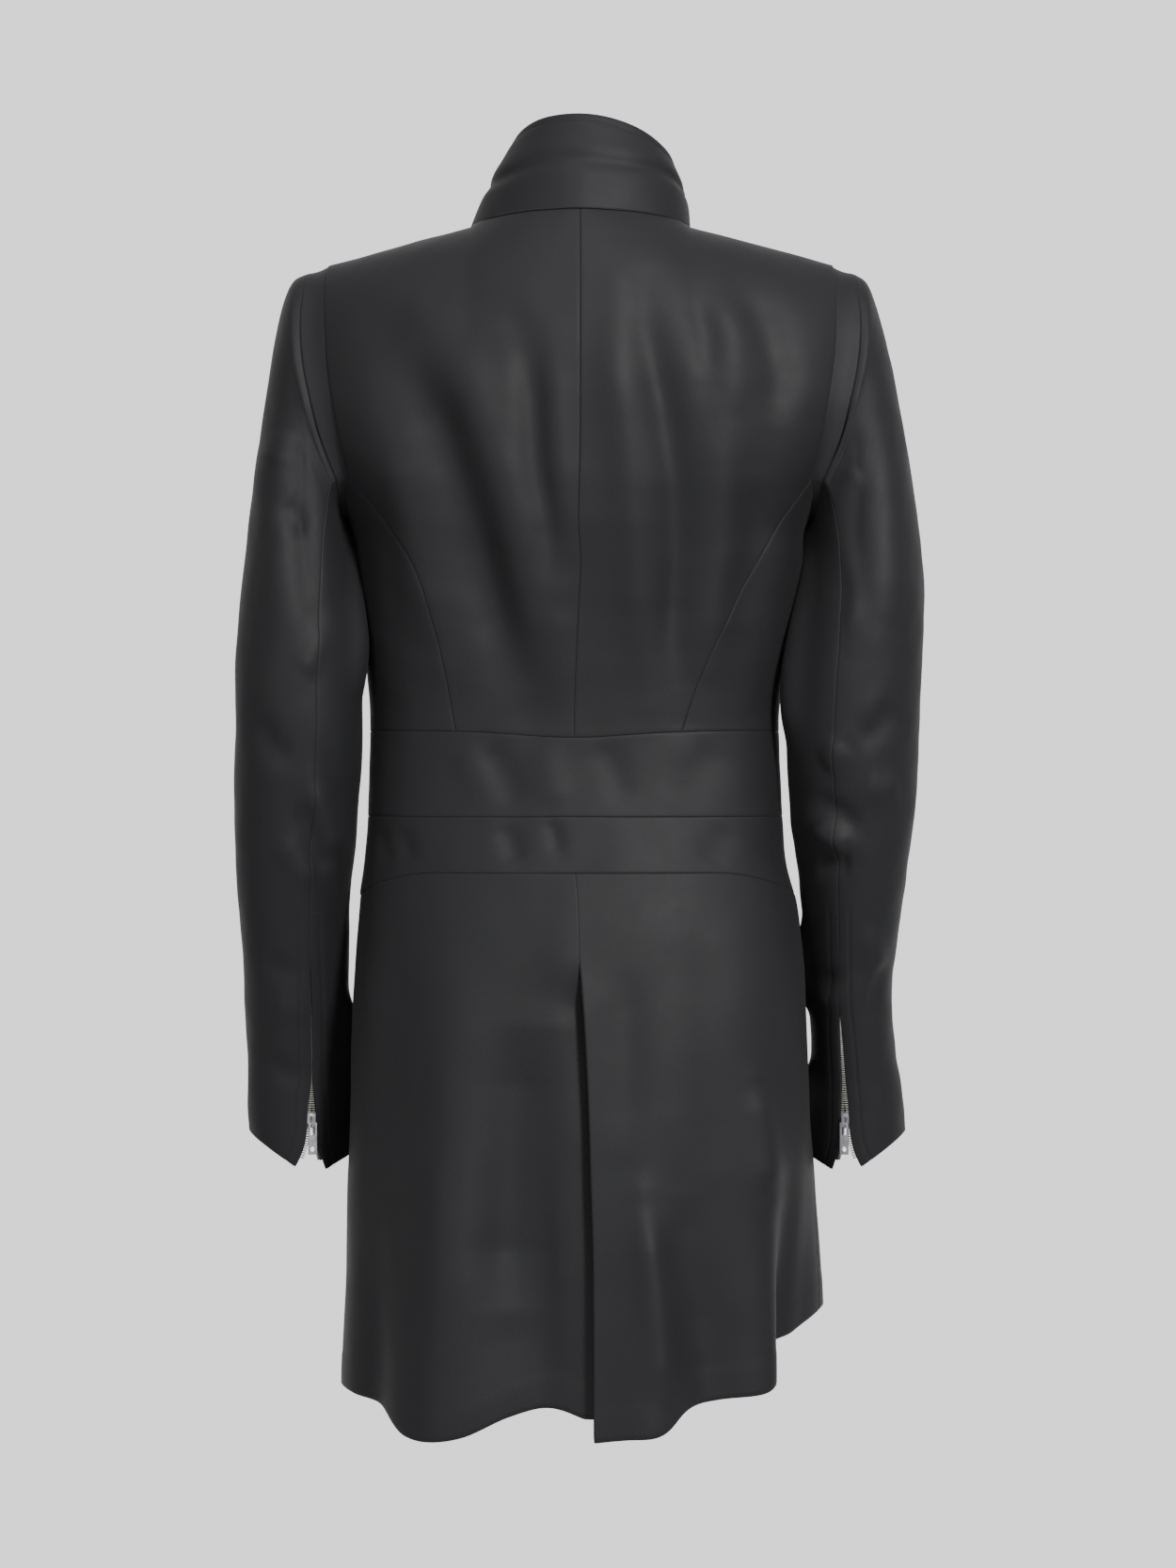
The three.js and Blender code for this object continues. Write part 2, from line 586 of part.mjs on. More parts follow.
function skirtBackGrid(side) {
  const seam = skirtSeamZ(0);
  const lowest = hemZ(0, side);
  const shares = [seam, -522, VENT.topZ, VENT.topZ - 12, VENT.topZ - 26, -610, -660, -715, -770, -830, lowest]
    .map((z) => (z - seam) / (lowest - seam));
  const columns = [0, 0.06, 0.12, 0.18, 0.24, 0.3, 0.36, 0.42, 0.49, 0.56, 0.63, 0.7, 0.77, 0.84, 0.92, 1];
  return shares.map((t) => {
    const edge = ventEdge(side, lerp(seam, lowest, t));
    return columns.map((s) => {
      const angle = side * lerp(edge, Math.PI / 2, s);
      const z = lerp(skirtSeamZ(angle), hemZ(angle, side), t);
      const spot = place(angle, z);
      return moved(spot, ventLift(side, side * (spot.point.x - bodyShift(z)), z));
    });
  });
}

function skirtFrontGrid(side) {
  const shares = [0, 0.09, 0.18, 0.29, 0.41, 0.53, 0.65, 0.77, 0.89, 1];
  const columns = [0, 0.07, 0.14, 0.21, 0.28, 0.36, 0.44, 0.52, 0.6, 0.68, 0.76, 0.84, 0.92, 1];
  return shares.map((t) => {
    const atHeight = (angle) => {
      const turned = around(angle, side, FRONT);
      return frontPlace(angle, lerp(skirtSeamZ(turned), hemZ(turned, side), t), side);
    };
    const middleZ = lerp(skirtSeamZ(Math.PI), hemZ(Math.PI, side), t);
    return [atHeight(-lapAngle(middleZ)), ...columns.map((s) => atHeight((s * Math.PI) / 2))];
  });
}

for (const side of [LEFT, RIGHT]) {
  add(`skirt_back_${sideName(side)}`, wall(inset(skirtBackGrid(side), ["first", "start", "end"]), CLOTH));
  add(`skirt_front_${sideName(side)}`, wall(inset(skirtFrontGrid(side), ["first", "end"]), CLOTH));
}

// The collar: one high band that stands on the neckline and laps at the front
function collarColumns() {
  const neckColumns = (side, face) => {
    const edge = centreGrid(side, face)[SEAM_ROWS.length + ARMHOLE_ROWS.length - 1];
    const made = face === FRONT ? [{ foot: edge[0], angle: side * (Math.PI + LAP.neck) }] : [];
    const first = face === FRONT ? 1 : 0;
    for (let k = 0; k <= NECK_COLUMNS; k += 1) {
      const turn = (k / NECK_COLUMNS) * (Math.PI / 2);
      made.push({ foot: edge[first + k], angle: side * (face === FRONT ? Math.PI - turn : turn) });
    }
    return made;
  };
  return [
    ...neckColumns(RIGHT, FRONT),
    ...neckColumns(RIGHT, BACK).reverse().slice(1),
    ...neckColumns(LEFT, BACK).slice(1, -1),
    ...neckColumns(LEFT, FRONT).reverse(),
  ];
}

function collarPoint(column, t) {
  const { foot, angle } = column;
  const top = new THREE.Vector3(
    COLLAR_TOP.x + COLLAR_TOP.half * Math.sin(angle),
    COLLAR_TOP.y + COLLAR_TOP.deep * Math.cos(angle),
    COLLAR_TOP.z + COLLAR_TOP.left * Math.sin(angle) + COLLAR_TOP.back * Math.cos(angle),
  );
  const crease = Math.exp(-Math.pow((t - COLLAR_SHAPE.creaseAt) / COLLAR_SHAPE.creaseWide, 2));
  const lapped = smoothBetween(Math.PI - 3 * LAP.neck, Math.PI - LAP.neck, Math.abs(angle));
  const lap = lapped * (angle < 0 ? COLLAR_SHAPE.lapLift : -COLLAR_SHAPE.lapSink);
  const out = COLLAR_SHAPE.belly * Math.sin(Math.PI * t) - COLLAR_SHAPE.creaseDeep * crease + lap;
  const outward = new THREE.Vector3(Math.sin(angle), Math.cos(angle), 0);
  return foot.point.clone().lerp(top, t).addScaledVector(outward, out).add(new THREE.Vector3(0, 0, COLLAR_SHAPE.raise));
}

// A grid of places from a grid of points, each normal taken from its neighbours
function gridPlaces(points, outward) {
  const rows = points.length - 1;
  const columns = points[0].length - 1;
  return points.map((row, i) => row.map((point, j) => {
    const across = row[Math.min(columns, j + 1)].clone().sub(row[Math.max(0, j - 1)]);
    const up = points[Math.min(rows, i + 1)][j].clone().sub(points[Math.max(0, i - 1)][j]);
    const normal = across.cross(up).normalize();
    if (normal.dot(outward(point, i, j)) < 0) normal.negate();
    return { point, normal };
  }));
}

function collarGrid() {
  const columns = collarColumns();
  const heights = [0, 0.18, 0.32, 0.42, 0.52, 0.7, 0.86, 1];
  const points = heights.map((t) => columns.map((column) => collarPoint(column, t)));
  return gridPlaces(points, (point, i, j) =>
    new THREE.Vector3(Math.sin(columns[j].angle), Math.cos(columns[j].angle), 0));
}
add("collar", wall(collarGrid(), COLLAR_CLOTH));


// The armhole's edge as one ring: from the shoulder tip down the back, under the arm and up the front
function armholeRing(side) {
  const edgeOf = (face) => {
    const centre = centreGrid(side, face);
    const rows = centre.slice(SEAM_ROWS.length - 1).map((row) => row[row.length - 1]).reverse();
    const below = sideGrid(side, face)[SEAM_ROWS.length - 1];
    return [...rows, ...below.slice(1)];
  };
  const back = edgeOf(BACK);
  const front = edgeOf(FRONT).reverse().slice(1, -1);
  return [...back, ...front];
}
const RING_COLUMNS = 2 * (ARMHOLE_ROWS.length + SIDE_COLUMNS.length - 1);
const BACK_SEAM_COLUMN = ARMHOLE_ROWS.length;
const FRONT_SEAM_COLUMN = RING_COLUMNS - BACK_SEAM_COLUMN;

// One plain sleeve ring: 0 is its outer point, a right angle is the back
function plainRing(side, ring, turn) {
  const { outX, outZ, inX, inZ, y, deep } = SLEEVE[side][ring];
  return new THREE.Vector3(
    side * (lerp(outX, inX, 0.5) + ((outX - inX) / 2) * Math.cos(turn)),
    y + deep * Math.sin(turn),
    lerp(outZ, inZ, 0.5) + ((outZ - inZ) / 2) * Math.cos(turn),
  );
}

// The armhole seen from the sleeve: each edge point, its turn round the ring and the band's outer edge
function sleeveHead(side) {
  const first = SLEEVE[side][0];
  const middle = new THREE.Vector3(side * lerp(first.outX, first.inX, 0.5), first.y, lerp(first.outZ, first.inZ, 0.5));
  const axis = plainRing(side, 0, 0).sub(middle);
  return armholeRing(side).map((spot, k) => {
    const from = spot.point.clone().sub(middle);
    let turn = Math.atan2(from.y / first.deep, from.dot(axis) / axis.lengthSq());
    if (k > RING_COLUMNS / 2 && turn > 0) turn -= 2 * Math.PI;
    if (k <= RING_COLUMNS / 2 && turn < 0) turn += 2 * Math.PI;
    if (k === 0) turn = 0;
    if (k > RING_COLUMNS / 2) turn += 2 * Math.PI;
    const width = armBandWidth((1 - Math.cos(turn)) / 2);
    const out = new THREE.Vector3(side, -0.3 * Math.sin(turn), -0.4 * Math.max(0, Math.cos(turn))).normalize();
    const edge = spot.point.clone().addScaledVector(out, width);
    return { spot, turn, edge, offset: edge.clone().sub(plainRing(side, 0, turn)) };
  });
}
const HEADS = { [LEFT]: sleeveHead(LEFT), [RIGHT]: sleeveHead(RIGHT) };

// Where each column of the sleeve ends up below the elbow
function settledTurn(k) {
  const back = SLEEVE_SEAM.back;
  const front = SLEEVE_SEAM.front + 2 * Math.PI;
  if (k < BACK_SEAM_COLUMN) return lerp(front - 2 * Math.PI, back, (k + BACK_SEAM_COLUMN) / (2 * BACK_SEAM_COLUMN));
  if (k <= FRONT_SEAM_COLUMN) return lerp(back, front, (k - BACK_SEAM_COLUMN) / (FRONT_SEAM_COLUMN - BACK_SEAM_COLUMN));
  return lerp(front, back + 2 * Math.PI, (k - FRONT_SEAM_COLUMN) / (2 * BACK_SEAM_COLUMN));
}

// How much of the cuff's drop a turn has. Seen from behind, the hem runs straight from its point at the slit
// up to the outside of the wrist.
function cuffShare(turn) {
  const past = wrapped(turn - SLEEVE_SEAM.back);
  if (past > 0) return Math.max(0, 1 - past / CUFF.spread);
  if (past < -CUFF.spread) return 0;
  return (1 - Math.cos(turn)) / (1 - Math.cos(SLEEVE_SEAM.back));
}

// The sleeve's surface at a ring and a turn, with the cuff's drop towards the zipped slit
function sleeveRingPoint(side, ring, turn, offset) {
  const point = plainRing(side, ring, turn);
  if (offset) point.addScaledVector(offset, ARMHOLE_FADE[ring] ?? 0);
  if (ring === SLEEVE[side].length - 1) {
    point.z -= CUFF.drop * cuffShare(turn);
  }
  return point;
}

// Opening the zipped slit turns the columns near it back round the ring: -1 on the upper sleeve, 1 below.
function sleeveGrid(side, opens) {
  const rings = SLEEVE[side].length;
  const points = Array.from({ length: rings }, (_, ring) => Array.from({ length: RING_COLUMNS + 1 }, (_, j) => {
    const k = j % RING_COLUMNS;
    const { turn, offset } = HEADS[side][k];
    const settled = smooth(ring / SLEEVE_SEAM.settledBy);
    const plain = lerp(turn, settledTurn(k), settled);
    const near = Math.exp(-Math.pow((k - BACK_SEAM_COLUMN) / SLIT_REACH, 2));
    const half = slitHalf(sleeveRingPoint(side, ring, plain).z) - SEAM_GAP / 2;
    return sleeveRingPoint(side, ring, plain + (opens * near * half) / SLEEVE_RADIUS, offset);
  }));
  const outward = (point, ring) => {
    const { outX, outZ, inX, inZ, y } = SLEEVE[side][ring];
    return point.clone().sub(new THREE.Vector3((side * (outX + inX)) / 2, y, (outZ + inZ) / 2)).setZ(0);
  };
  // Round the ring the last column is the first again, so both take the same normal.
  const doubled = points.map((row) => [...row.slice(0, -1), ...row]);
  const made = gridPlaces(doubled, (point, ring) => outward(point, ring));
  return made.map((row) => row.slice(RING_COLUMNS - 1, 2 * RING_COLUMNS).map((_, j) =>
    row[RING_COLUMNS + ((j + RING_COLUMNS) % RING_COLUMNS === 0 ? 0 : j)]));
}

for (const side of [LEFT, RIGHT]) {
  const grid = sleeveGrid(side, -1);
  const under = sleeveGrid(side, 1).map((row) => row.slice(BACK_SEAM_COLUMN, FRONT_SEAM_COLUMN + 1));
  const upper = grid.map((row) => [...row.slice(FRONT_SEAM_COLUMN, RING_COLUMNS), ...row.slice(0, BACK_SEAM_COLUMN + 1)]);
  add(`upper_sleeve_${sideName(side)}`, wall(inset(upper, ["first", "start", "end"]), CLOTH));
  add(`under_sleeve_${sideName(side)}`, wall(inset(under, ["first", "start", "end"]), CLOTH));

  // The inserted band closes on itself at the shoulder tip.
  const band = HEADS[side].map(({ spot }, k) => {
    const start = moved(spot, -ARM_BAND_SINK);
    const end = grid[0][k];
    return [start, { point: start.point.clone().lerp(end.point, 0.5), normal: spot.normal.clone().lerp(end.normal, 0.5).normalize() }, end];
  });
  const rows = [0, 1, 2].map((column) => band.map((row) => row[column]));
  add(`armhole_band_${sideName(side)}`, loop(inset(rows, ["first", "last"]), CLOTH));
}

// A wall that closes on itself: each row of the grid is a ring.
function loop(grid, thickness) {
  const rows = grid.length;
  const columns = grid[0].length;
  const points = [];
  for (const out of [0, -thickness]) for (const row of grid) for (const spot of row) points.push(moved(spot, out).point);
  const outer = (i, j) => i * columns + (j % columns);
  const inner = (i, j) => rows * columns + outer(i, j);
  const faces = [];
  const quad = (a, b, c, d) => faces.push(a, b, c, a, c, d);
  for (let j = 0; j < columns; j += 1) {
    for (let i = 0; i + 1 < rows; i += 1) {
      quad(outer(i, j), outer(i, j + 1), outer(i + 1, j + 1), outer(i + 1, j));
      quad(inner(i, j), inner(i + 1, j), inner(i + 1, j + 1), inner(i, j + 1));
    }
    quad(outer(0, j), inner(0, j), inner(0, j + 1), outer(0, j + 1));
    quad(outer(rows - 1, j), outer(rows - 1, j + 1), inner(rows - 1, j + 1), inner(rows - 1, j));
  }
  return solidGeometry(points, faces);
}

// The sleeve's surface near the cuff: a place some way round from the back seam, at a height
function cuffPlace(side, z, aside) {
  const turn = SLEEVE_SEAM.back;
  const rings = SLEEVE[side].length;
  let ring = rings - 2;
  while (ring > SLEEVE_SEAM.settledBy && sleeveRingPoint(side, ring, turn).z < z) ring -= 1;
  const top = sleeveRingPoint(side, ring, turn);
  const bottom = sleeveRingPoint(side, ring + 1, turn);
  const share = (top.z - z) / (top.z - bottom.z);
  const at = (more) => sleeveRingPoint(side, ring, turn + more).lerp(sleeveRingPoint(side, ring + 1, turn + more), share);
  const middle = at(0);
  const step = 2 * DEG;
  const across = at(-step).sub(at(step)).normalize();
  const down = bottom.clone().sub(top).normalize();
  const normal = across.clone().cross(down).normalize();
  if (normal.y < 0) normal.negate();
  const turnAside = aside / middle.distanceTo(new THREE.Vector3(
    side * lerp(SLEEVE[side][ring].outX, SLEEVE[side][ring].inX, 0.5), SLEEVE[side][ring].y, middle.z));
  const point = at(-turnAside);
  const lean = new THREE.Vector3(side * Math.sin(turnAside), 0, 0);
  return { point, normal: normal.clone().add(lean).normalize(), across, down };
}

// One zip tape lies under each edge of the slit; below the slider both tapes part with the cloth.
function tapeGrid(side, hand) {
  const heights = [ZIP.topZ, -560, -600, -635, -655, -667, -676, -685, -694, -704, ZIP.endZ];
  return heights.map((z) => {
    const inner = Math.max(ZIP.parted, slitHalf(z) - ZIP.peeks);
    const outer = inner + ZIP.tapeHalf;
    return [inner, lerp(inner, outer, 0.5), outer].map((aside) =>
      moved(cuffPlace(side, z, hand * aside), -(CLOTH + ZIP.under)));
  });
}

// A block with one face for each pair of sizes: width and length in the face's plane
function block(width, long, high, x = 0, y = 0, z = 0) {
  return wasm.Manifold.cube([width, long, high], true).translate([x, y, z]);
}

function toGeometry(solid) {
  const mesh = solid.getMesh();
  const geometry = new THREE.BufferGeometry();
  const points = [];
  for (let i = 0; i < mesh.vertProperties.length; i += mesh.numProp)
    points.push(...mesh.vertProperties.slice(i, i + 3));
  geometry.setAttribute("position", new THREE.Float32BufferAttribute(points, 3));
  geometry.setIndex([...mesh.triVerts]);
  geometry.computeVertexNormals();
  return geometry;
}

// The slider in its own frame: x across, y up the zip, z out of the sleeve, 0 at the tapes' middle
function sliderSolid() {
  const { wide, narrow, long, plate, gap, neck, neckLong } = SLIDER;
  const outline = [
    [-wide / 2, -long / 2], [wide / 2, -long / 2], [wide / 2, 0], [narrow / 2, long / 2],
    [-narrow / 2, long / 2], [-wide / 2, 0],
  ];
  const plateAt = (z) => wasm.Manifold.extrude([outline], plate).translate([0, 0, z]);
  const topZ = gap / 2 + plate;
  const legY = (BRIDGE.long - BRIDGE.bar) / 2;
  return wasm.Manifold.union([
    plateAt(gap / 2),
    plateAt(-gap / 2 - plate),
    block(neck, neckLong, gap + plate, 0, -(long - neckLong) / 2, 0),
    block(BRIDGE.wide, BRIDGE.bar, BRIDGE.high + 0.2, 0, legY, topZ + BRIDGE.high / 2 - 0.1),
    block(BRIDGE.wide, BRIDGE.bar, BRIDGE.high + 0.2, 0, -legY, topZ + BRIDGE.high / 2 - 0.1),
    block(BRIDGE.wide, BRIDGE.long, BRIDGE.bar, 0, 0, topZ + BRIDGE.high - BRIDGE.bar / 2),
  ]);
}

// The pull tab in its own frame: it hangs down along -y from its bar, which passes under the bridge
function pullSolid() {
  const { wide, long, thick, rail, window: opening, hole } = PULL;
  const body = block(wide, long, thick, 0, thick / 2 - long / 2, 0);
  const slot = block(wide - 2 * rail, opening, 2 * thick, 0, -thick / 2 - opening / 2, 0);
  const end = wasm.Manifold.cylinder(2 * thick, hole / 2, hole / 2, 12, true).translate([0, thick / 2 - long + hole, 0]);
  return body.subtract(slot).subtract(end);
}

// The pull's hinge: its bar sits under the bridge, below its middle. The pull hangs straight down there.
export function pullHinge(side) {
  const spot = cuffPlace(side, SLIDER.z, 0);
  const above = -(CLOTH + ZIP.under + ZIP.tape / 2) + SLIDER.gap / 2 + SLIDER.plate + PULL.above;
  const pivot = spot.point.clone().addScaledVector(spot.normal, above).addScaledVector(spot.down, PULL.below);
  const out = spot.normal.clone().setZ(0).normalize();
  const up = new THREE.Vector3(0, 0, 1);
  return { pivot, out, up, axis: out.clone().cross(up) };
}

for (const side of [LEFT, RIGHT]) {
  for (const hand of [1, -1]) {
    const which = hand === 1 ? "outer" : "inner";
    add(`zip_tape_${which}_${sideName(side)}`, wall(tapeGrid(side, hand), ZIP.tape), tapeMaterial);
  }
  const spot = cuffPlace(side, SLIDER.z, 0);
  const up = spot.down.clone().negate();
  const middle = spot.point.clone().addScaledVector(spot.normal, -(CLOTH + ZIP.under + ZIP.tape / 2));
  const sliderFrame = new THREE.Matrix4().makeBasis(up.clone().cross(spot.normal), up, spot.normal).setPosition(middle);
  add(`zip_slider_${sideName(side)}`, toGeometry(sliderSolid()).applyMatrix4(sliderFrame), nickelMaterial);

  const hinge = pullHinge(side);
  const pullFrame = new THREE.Matrix4().makeBasis(hinge.up.clone().cross(hinge.out), hinge.up, hinge.out);
  pullFrame.setPosition(hinge.pivot);
  add(`zip_pull_${sideName(side)}`, toGeometry(pullSolid()).applyMatrix4(pullFrame), nickelMaterial);
}

// The front's buttons stand on the lapping front, just clear of the cloth.
for (let k = 0; k < BUTTON.count; k += 1) {
  const z = BUTTON.topZ - k * BUTTON.pitch;
  const spot = moved(frontPlace(0, z, RIGHT), BUTTON.clear);
  const profile = [
    [0, 0], [BUTTON.radius - 1, 0], [BUTTON.radius, 1], [BUTTON.radius, BUTTON.height - 0.6],
    [BUTTON.radius - 0.6, BUTTON.height], [BUTTON.radius - BUTTON.rim, BUTTON.height],
    [BUTTON.radius - BUTTON.rim - 0.8, BUTTON.height - BUTTON.dish], [0, BUTTON.height - BUTTON.dish],
  ].map(([r, h]) => new THREE.Vector2(r, h));
  const turned = new THREE.Quaternion().setFromUnitVectors(new THREE.Vector3(0, 1, 0), spot.normal);
  const matrix = new THREE.Matrix4().makeRotationFromQuaternion(turned).setPosition(spot.point);
  add(`button_${k + 1}`, new THREE.LatheGeometry(profile, BUTTON.sides).applyMatrix4(matrix), buttonMaterial);
}

export default coat;
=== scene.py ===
"""A woman's fitted black raincoat, hollow as worn, seen from behind.

The coat's shape is laid out in millimetres as its pattern pieces are, and each finished piece is in metres.
"""

import math

import bmesh
import bpy
import numpy as np
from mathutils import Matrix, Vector


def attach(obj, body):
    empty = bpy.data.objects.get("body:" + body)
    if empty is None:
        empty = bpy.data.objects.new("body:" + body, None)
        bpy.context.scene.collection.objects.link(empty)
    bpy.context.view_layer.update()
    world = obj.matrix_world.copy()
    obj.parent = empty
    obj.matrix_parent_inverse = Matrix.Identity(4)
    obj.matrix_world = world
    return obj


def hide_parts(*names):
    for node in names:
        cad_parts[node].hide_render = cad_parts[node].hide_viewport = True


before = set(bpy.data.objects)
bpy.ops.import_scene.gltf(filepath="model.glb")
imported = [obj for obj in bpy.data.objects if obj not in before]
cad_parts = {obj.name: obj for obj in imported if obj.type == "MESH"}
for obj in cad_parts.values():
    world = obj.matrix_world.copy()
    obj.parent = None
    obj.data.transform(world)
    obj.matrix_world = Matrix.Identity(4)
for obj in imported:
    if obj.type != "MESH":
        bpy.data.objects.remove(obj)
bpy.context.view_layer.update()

# The figure that the coat is cut for
# A woman's size 38 block: rings round the body, the shoulder's slope, and the lines where pieces meet.
# All the body's pieces lie on this one surface, so their seams match.
LEFT, RIGHT, BACK, FRONT = 1, -1, 1, -1
SIDE_NAMES = {LEFT: "left", RIGHT: "right"}
FACE_NAMES = {BACK: "back", FRONT: "front"}
# height, half width, depth behind, depth before, sideways shift
BODY_RINGS = [
    (-30, 215, 108, 88, 0),
    (-62, 215, 110, 92, 0),
    (-110, 215, 112, 104, 0),
    (-150, 213, 114, 117, 0),
    (-180, 203, 113, 125, 0),
    (-206, 189, 112, 129, 0.5),
    (-225, 178, 110, 130, 1),
    (-240, 171, 108, 129, 1.2),
    (-265, 168.6, 103, 125, -0.3),
    (-300, 164, 97, 118, 1),
    (-340, 158.3, 91, 109, 2.9),
    (-380, 153.9, 86.4, 102.6, 4.3),
    (-408, 153.9, 86.8, 101, 4.3),
    (-436, 155, 90, 101.6, 4),
    (-464, 156.4, 95.5, 105, 3.9),
    (-493, 159.2, 103, 109, 3.9),
    (-516, 164, 108, 111, 2),
    (-542, 167, 115, 113, 1),
    (-600, 170.5, 127, 116, 0.6),
    (-660, 172.5, 133, 119, 0.4),
    (-713, 174.5, 137, 122, 0),
    (-770, 176, 140, 125, -1),
    (-830, 177, 143, 128, -1),
    (-900, 178, 147, 131, -1),
]
SQUARENESS = 2.4
SHOULDER_SEAM_Y = -5
YOKE_Z = -150
ROUNDNESS = 2.6
NECK_X, NECK_Z, NECK_BACK_Z, NECK_FRONT_Z = 83, -12, -7, -62
NECK_CROWN_Z = 30.7
TIP_X, TIP_Z = 190, -40
WAIST_Z = -391.5
WAIST_DIP, WAIST_DIP_SPREAD, WAIST_DIP_REACH = 5.5, math.radians(37), 60
HIP_Z = -455
SKIRT_SEAM_Z, SKIRT_SEAM_DROP = -496, 20
UNDERARM_Z = -240
JOIN_Z = -206
VENT_TOP_Z = -556
FOLDS_FULL_Z = -900
# angle from the centre back, height of the hem
HEM_LINE = {
    LEFT: [
        (0, -887), (10, -880), (21, -886), (31, -900), (46, -901), (58, -886), (72, -881), (92, -878),
        (115, -862), (145, -848), (180, -842),
    ],
    RIGHT: [
        (0, -904), (12, -900), (21, -897), (29, -883), (40, -876), (52, -871), (58, -864), (66, -846),
        (76, -838), (92, -826), (115, -828), (145, -836), (180, -842),
    ],
}
# angle, how far out at the hem, half width in degrees, height where it starts
SKIRT_FOLDS = [
    (88, 3, 10, -700),
    (62, -8, 8, -640),
    (38, 15, 12, -560),
    (13, -13, 9, -580),
    (-17, 10, 8, -620),
    (-37, -12, 8, -660),
    (-50, 6, 8, -640),
    (-66, -30, 8, -630),
    (-78, -14, 8, -630),
    (-99, 9, 9, -600),
    (-128, -9, 9, -620),
    (-148, 7, 9, -600),
    (108, -8, 8, -660),
    (126, 9, 9, -620),
    (148, -8, 8, -640),
]


def curve_through(at, value):
    """A smooth curve through a table's points, as a drafting curve joins them."""
    order = np.argsort(at)
    at = np.asarray(at, float)[order]
    value = np.asarray(value, float)[order]
    span = np.diff(at)
    secant = np.diff(value) / span
    slope = np.empty_like(value)
    slope[0], slope[-1] = secant[0], secant[-1]
    slope[1:-1] = (secant[:-1] * span[1:] + secant[1:] * span[:-1]) / (span[:-1] + span[1:])

    def look_up(t):
        t = np.clip(t, at[0], at[-1])
        i = np.clip(np.searchsorted(at, t, side="right") - 1, 0, len(span) - 1)
        u = (t - at[i]) / span[i]
        eased = u * u * (3 - 2 * u)
        bend = span[i] * u * (1 - u) * ((1 - u) * slope[i] - u * slope[i + 1])
        return value[i] * (1 - eased) + value[i + 1] * eased + bend

    return look_up


def smooth(t):
    t = np.clip(t, 0, 1)
    return t * t * (3 - 2 * t)


def smooth_between(low, high, value):
    return smooth((value - low) / (high - low))


def mix(a, b, t):
    return a + (b - a) * t


ring_z = [row[0] for row in BODY_RINGS]
body_half, body_back, body_front, body_shift = (
    curve_through(ring_z, [row[k] for row in BODY_RINGS]) for k in (1, 2, 3, 4)
)
hem_lines = {side: curve_through(*zip(*rows)) for side, rows in HEM_LINE.items()}


def wrapped(angle):
    return np.arctan2(np.sin(angle), np.cos(angle))


def hem_z(angle, side):
    """The hem's height. Past the centre back it keeps its height there."""
    turn = side * wrapped(angle)
    return hem_lines[side](np.degrees(np.where(turn < -math.pi / 2, -turn, np.maximum(turn, 0))))


def skirt_seam_z(angle):
    at_side = smooth_between(math.radians(50), math.radians(95), np.abs(wrapped(angle)))
    return SKIRT_SEAM_Z - SKIRT_SEAM_DROP * at_side


def skirt_fold_depth(angle, z):
    out = 0
    for at, depth, spread, start in SKIRT_FOLDS:
        away = wrapped(angle - math.radians(at)) / math.radians(spread)
        grown = smooth_between(start, FOLDS_FULL_Z, z) ** 1.2
        out = out + depth * grown * np.exp(-away * away)
    return out


def shoulder_z(x):
    across = np.abs(x)
    slope = mix(NECK_Z, TIP_Z, (across - NECK_X) / (TIP_X - NECK_X))
    crown = mix(NECK_CROWN_Z, NECK_Z, (across / NECK_X) ** 1.6)
    return np.where(across >= NECK_X, slope, crown)


def neckline_z(x, face):
    share = np.minimum(np.abs(x) / NECK_X, 1)
    if face == BACK:
        return mix(NECK_BACK_Z, NECK_Z, share**2)
    return mix(NECK_FRONT_Z, NECK_Z, share**2.2)


def body_points(angle, z):
    """The coat's outer surface: angle 0 is the centre back, and + turns towards the wearer's left."""
    angle, z = np.broadcast_arrays(np.asarray(angle, float), np.asarray(z, float))
    # The waist seam and the cloth near it dip at the centre back.
    dip = WAIST_DIP * np.exp(-((wrapped(angle) / WAIST_DIP_SPREAD) ** 2))
    z = z - dip * (1 - smooth_between(0, WAIST_DIP_REACH, np.abs(z - WAIST_Z)))
    depth = np.where(np.cos(angle) >= 0, body_back(z), body_front(z))
    across = (np.abs(np.sin(angle)) / body_half(z)) ** SQUARENESS
    along = (np.abs(np.cos(angle)) / depth) ** SQUARENESS
    radius = (across + along) ** (-1 / SQUARENESS) + skirt_fold_depth(angle, z)
    x = radius * np.sin(angle)
    y = radius * np.cos(angle)
    climb = np.clip((z - YOKE_Z) / (shoulder_z(x) - YOKE_Z), 0, 1)
    left = np.sqrt(np.maximum(0, 1 - climb**ROUNDNESS))
    y = np.where(z > YOKE_Z, SHOULDER_SEAM_Y + (y - SHOULDER_SEAM_Y) * left, y)
    return np.stack([x + body_shift(z), y, z], axis=-1)


def angle_across(x, z, face):
    depth = body_back(z) if face == BACK else body_front(z)
    share = np.minimum(1, x / body_half(z))
    return np.arctan2(x, depth * (1 - share**SQUARENESS) ** (1 / SQUARENESS))


def turned(angle, side, face):
    return side * (angle if face == BACK else math.pi - angle)


# The cloth and how its pieces are made up
# A fine, dense black cotton-polyester twill, woven, dyed in the piece and pressed. It is close to matt,
# with a faint sheen on its rounded places and a fine diagonal rib.
# Each panel is a closed wall of cloth that rolls in to its seams, with its free edges turned.
CLOTH = 1.6
SEAM_GAP, SEAM_LAP = 0.2, 0.55
SEAM_DITCH, SEAM_WIDTH = 0.38, 0.6
TURNED_EDGE = 0.45
# two lines of points added beside a seam: the greatest share of the first gap, the distance
ROLL_LINES = ((0.3, 0.55), (0.7, 1.5))
